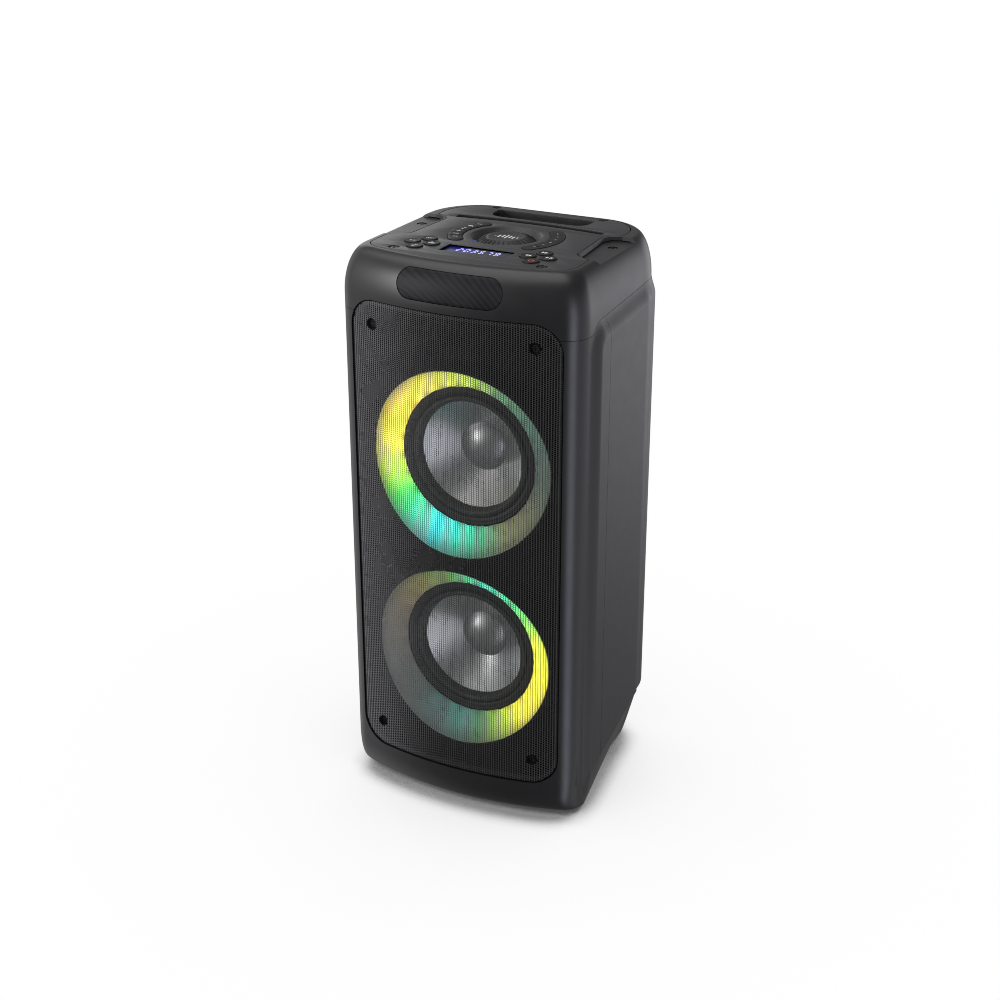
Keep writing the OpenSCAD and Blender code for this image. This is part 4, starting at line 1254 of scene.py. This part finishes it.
def make_surround(which):
    """Rubber roll between the cone and the frame."""
    mid = 62.0
    roll = [(mid + 3.2 * math.cos(a), 49.6 - 4.2 * math.sin(a)) for a in np.linspace(math.pi, 0, 15)]
    top = [(57.7, 55.9), (58.1, 55.1), *roll, (65.8, 49.2), (66.4, 49.2)]
    under = [(66.4, 50.1), (64.9, 50.0)] + [(mid + (r - mid) * 0.72, d + 0.8) for r, d in roll[::-1]]
    surround = turned(top + under + [(59.2, 56.0)], which).thing(f"surround_{which}_skin", [RUBBER])
    settle(surround, None, ["surround_" + which], 40)
    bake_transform(surround)


def make_basket(which):
    """Woofer's frame: a ribbed trim ring on a flange, and a cone with windows that reaches the magnet."""
    trim = [(75.0, 50.8), (75.0, 47.6), (74.2, 46.4), (73.0, 46.2), (72.2, 46.9), (71.2, 46.9), (70.3, 46.1),
            (68.4, 46.2), (67, 47.0), (66, 48.8), (66, 50.2), (66, 52.2), (75.0, 52.2)]
    bell = [(70, 52), (66, 52), (64, 56), (44, 92), (22, 94), (22, 97.6), (46, 97.6), (50, 94), (68, 58)]
    place, hole, count = 62, 15, 6
    windows = []
    for a in np.radians(30 + 360 / count * np.arange(count)):
        window = circle(place * math.cos(a), RINGS[which] + place * math.sin(a), hole, 24)
        windows.append(cutter(through(window, 59, 91)))
    carved = carve(turned(bell, which, 120).thing("bell"), *windows)
    joined("woofer_frame_" + which, [turned(trim, which), carved], [BLACK_STEEL],
           stands_for=["basket_" + which], angle=30)


def make_tweeter():
    low, high = reach_of("tweeter")
    y = low.y
    dome = [(9.5 * math.cos(a), y + 2.6 - 3.2 * math.sin(a)) for a in np.linspace(0, math.pi / 2, 9)[:-1]]
    face = [(17, 1.4), (16.6, 0.4), (15.6, 0), (13.6, 0.3), (11.6, 2.2), (10.6, 2.8), (10, 2.2)]
    back = [(0, y - 0.6), (0, high.y), (13, high.y), (13, y + 6), (17, y + 6)]
    profile = [(r, y + d) for r, d in face] + dome + back
    shape = Shape().lathe(profile, (0, TWEETER_Z), "y", 96)
    shape.piece("tweeter_skin", [TWEETER], stands_for=["tweeter"], slot="inner_plastic")


# ---- strobe window ----

def cap_face_depth(x, z):
    """Depth of the cap's rolled front at (x, z)."""
    f = 1 - np.sqrt(np.maximum(0, 1 - (np.maximum(z - (TOP - ROLL_H), 0) / ROLL_H) ** 2))
    r = BOW - ROLL_FRONT * f
    return ROLL_FRONT * f + r - np.sqrt(r * r - x * x)


def lens_finish():
    """Smoked lens with fine arcs."""
    made = Finish("strobe_lens", Roughness=0.42, IOR=1.16)
    x, _, z = made.parts(made.where)
    radius = made.length(made.maths("ADD", x, 0.11), made.maths("SUBTRACT", z, 0.41))
    arcs = made.maths("SINE", made.times(radius, 1250.0))
    shade = made.maths("ADD", made.times(arcs, 0.22), made.noise(26, 2))
    made.surface(shade, 0.2, 0.8, grey(0.012, 1.12), grey(0.023, 1.12), 0.38, 0.44)
    made.bump(arcs, 0.3, 0.1)
    return made.mat


def make_strobe():
    half, r, rows = WINDOW_HALF - 0.6, WINDOW_R - 0.6, 21
    x = np.linspace(-half, half, 229)
    end = np.maximum(np.abs(x) - (half - r), 0)
    reach = np.sqrt(np.maximum(r * r - end * end, 0.01))
    face, back = [], []
    for t in np.sin(np.linspace(-1, 1, rows) * math.pi / 2):
        z = WINDOW_Z + reach * t
        d = FRONT + cap_face_depth(x, z)
        near = min(1 - abs(t), 0.1) * 10
        face.append(np.stack([x, d + 0.5 - 0.3 * near, z], 1))
        back.append(np.stack([x, d + 2.6, z], 1))
    shape = Shape().shell(np.array(face), np.array(back))
    shape.piece("strobe_lens", [lens_finish()], stands_for=["strobe_window"], slot="strobe_lens", angle=60)


# ---- studio ----

def look_at(obj, target):
    obj.rotation_euler = (Vector(target) - obj.location).to_track_quat("-Z", "Y").to_euler()


def area_light(name, place, target, size, power):
    light = bpy.data.lights.new(name, "AREA")
    light.shape, light.energy = "RECTANGLE", power
    light.size, light.size_y = size
    obj = linked(name, light)
    obj.location = place
    look_at(obj, target)
    obj.visible_camera = False
    return obj


ROOM_LIGHT, BACKDROP, FLOOR_HALF = 0.22, 1.05, 3000
# Patches of light round the studio: azimuth from the front towards the right, its half width and
# softness, the same for elevation, then strength and colour.
PATCHES = [
    (-85, 20, 30, -10, 30, 30, 0.85, (0.97, 0.97, 1.0)),
    (54, 6, 16, -22, 24, 20, 5.0, (0.86, 0.88, 1.0)),
    (105, 12, 26, -20, 24, 20, 1.0, (0.93, 0.93, 1.0)),
    (158, 10, 40, -6, 5, 18, 1.75, (0.94, 0.94, 1.0)),
    (-150, 8, 16, 18, 10, 16, 0.12, (0.94, 0.94, 1.0)),
]


def studio_world():
    """White backdrop for the camera, and a dim room with soft patches of light for everything else."""
    world = bpy.data.worlds.new("studio")
    world.use_nodes = True
    made = Nodes(world.node_tree)

    def inside(angle, centre, half, soft):
        away = made.maths("ABSOLUTE", made.maths("SUBTRACT", angle, math.radians(centre)))
        outer, inner = math.radians(half + soft), math.radians(half)
        return made.remap(away, outer, inner, 0, 1, interpolation_type="SMOOTHSTEP")

    x, y, z = made.parts(made.add("ShaderNodeTexCoord").outputs["Generated"])
    around = made.maths("ARCTAN2", x, made.times(y, -1.0))
    above = made.maths("ARCSINE", z)
    total = made.add("ShaderNodeCombineXYZ", {i: ROOM_LIGHT for i in range(3)}).outputs[0]
    for az, half_az, soft_az, el, half_el, soft_el, strength, colour in PATCHES:
        share = made.times(inside(around, az, half_az, soft_az), inside(above, el, half_el, soft_el))
        light = {0: scaled(colour, strength), "Scale": share}
        patch = made.add("ShaderNodeVectorMath", light, operation="SCALE").outputs[0]
        total = made.add("ShaderNodeVectorMath", {0: total, 1: patch}, operation="ADD").outputs[0]
    felt = made.tree.nodes["Background"]
    made.tree.links.new(total, felt.inputs["Color"])
    seen = made.add("ShaderNodeBackground", {"Color": (1, 1, 1, 1), "Strength": BACKDROP})
    made.camera_only(seen.outputs[0], felt.outputs[0], made.tree.nodes["World Output"].inputs["Surface"])
    return world


# Shade of the floor by how open it is, from (openness, level): the dark line where the cabinet meets
# it, and the wide soft shadow round that.
CONTACT = ((0.05, 0.09), (0.40, 0.12), (0.55, 0.55), (0.70, 0.93), (0.85, 1.0))
SPREAD = ((0.4, 0.72), (0.6, 0.88), (0.8, 0.97), (0.95, 1.0))


def make_floor():
    """Pale paper: near-white to the camera, and a plain pale grey to every other ray."""
    corners = [(x, y, 0) for x, y in box(-FLOOR_HALF, FLOOR_HALF, -FLOOR_HALF, FLOOR_HALF)]
    floor = Shape().add(corners, [(0, 1, 2, 3)]).thing("floor")
    mat = bpy.data.materials.new("floor")
    mat.use_nodes = True
    made = Nodes(mat.node_tree)
    white = made.add("ShaderNodeMix", {0: 1.0}, data_type="RGBA", blend_type="MULTIPLY")
    for distance, stops, socket in ((0.035, CONTACT, 6), (0.5, SPREAD, 7)):
        near = made.add("ShaderNodeAmbientOcclusion", {"Distance": distance}, samples=8)
        shade = made.ramp(near.outputs["AO"], [(place, grey(level)) for place, level in stops])
        made.tree.links.new(shade, white.inputs[socket])
    shown = made.add("ShaderNodeEmission", {"Color": white.outputs[2], "Strength": 1.0})
    cloud = made.add("ShaderNodeTexNoise", {"Scale": 1.1}).outputs["Fac"]
    pale = made.ramp(cloud, [(0.0, grey(0.59)), (1.0, grey(0.6))])
    lit = made.add("ShaderNodeBsdfDiffuse", {"Color": pale})
    made.camera_only(shown.outputs[0], lit.outputs[0], made.tree.nodes["Material Output"].inputs["Surface"])
    floor.data.materials.append(mat)
    floor.visible_glossy = False


def make_camera():
    place, distance = Vector((0.7613, -1.5255, 1.0454)), 1.686
    camera = bpy.data.cameras.new("camera")
    camera.lens, camera.sensor_width = 62.3, 36
    rig = linked("camera", camera)
    rig.location = place
    look_at(rig, place - distance * Vector((0.41191, -0.82114, 0.39506)))
    bpy.context.scene.camera = rig


def make_studio():
    scene = bpy.context.scene
    scene.world = studio_world()
    make_floor()
    key = area_light("key", (-1.9, -2.3, 1.15), (0, 0, 0.3), (0.8, 1.1), 60)
    key.visible_diffuse = False
    area_light("top", (-0.6, -0.5, 3.0), (0, 0, 0.3), (3.0, 3.0), 85)
    area_light("rear", (-1.0, 1.02, 0.95), (0, 0, 0.6), (0.6, 0.45), 1.5)
    make_camera()
    scene.view_settings.view_transform = "Standard"
    scene.cycles.filter_width = 1.0


# ---- build ----

make_front_housing()
make_rear_housing()
make_cap()
make_panel()
make_handle()
make_buttons()
make_keys()
make_dial()
make_display()
make_grille()
for driver in ("upper", "lower"):
    make_ring(driver)
    make_cone(driver)
    make_surround(driver)
    make_basket(driver)
make_tweeter()
make_strobe()
finish_carried_nodes()
make_studio()
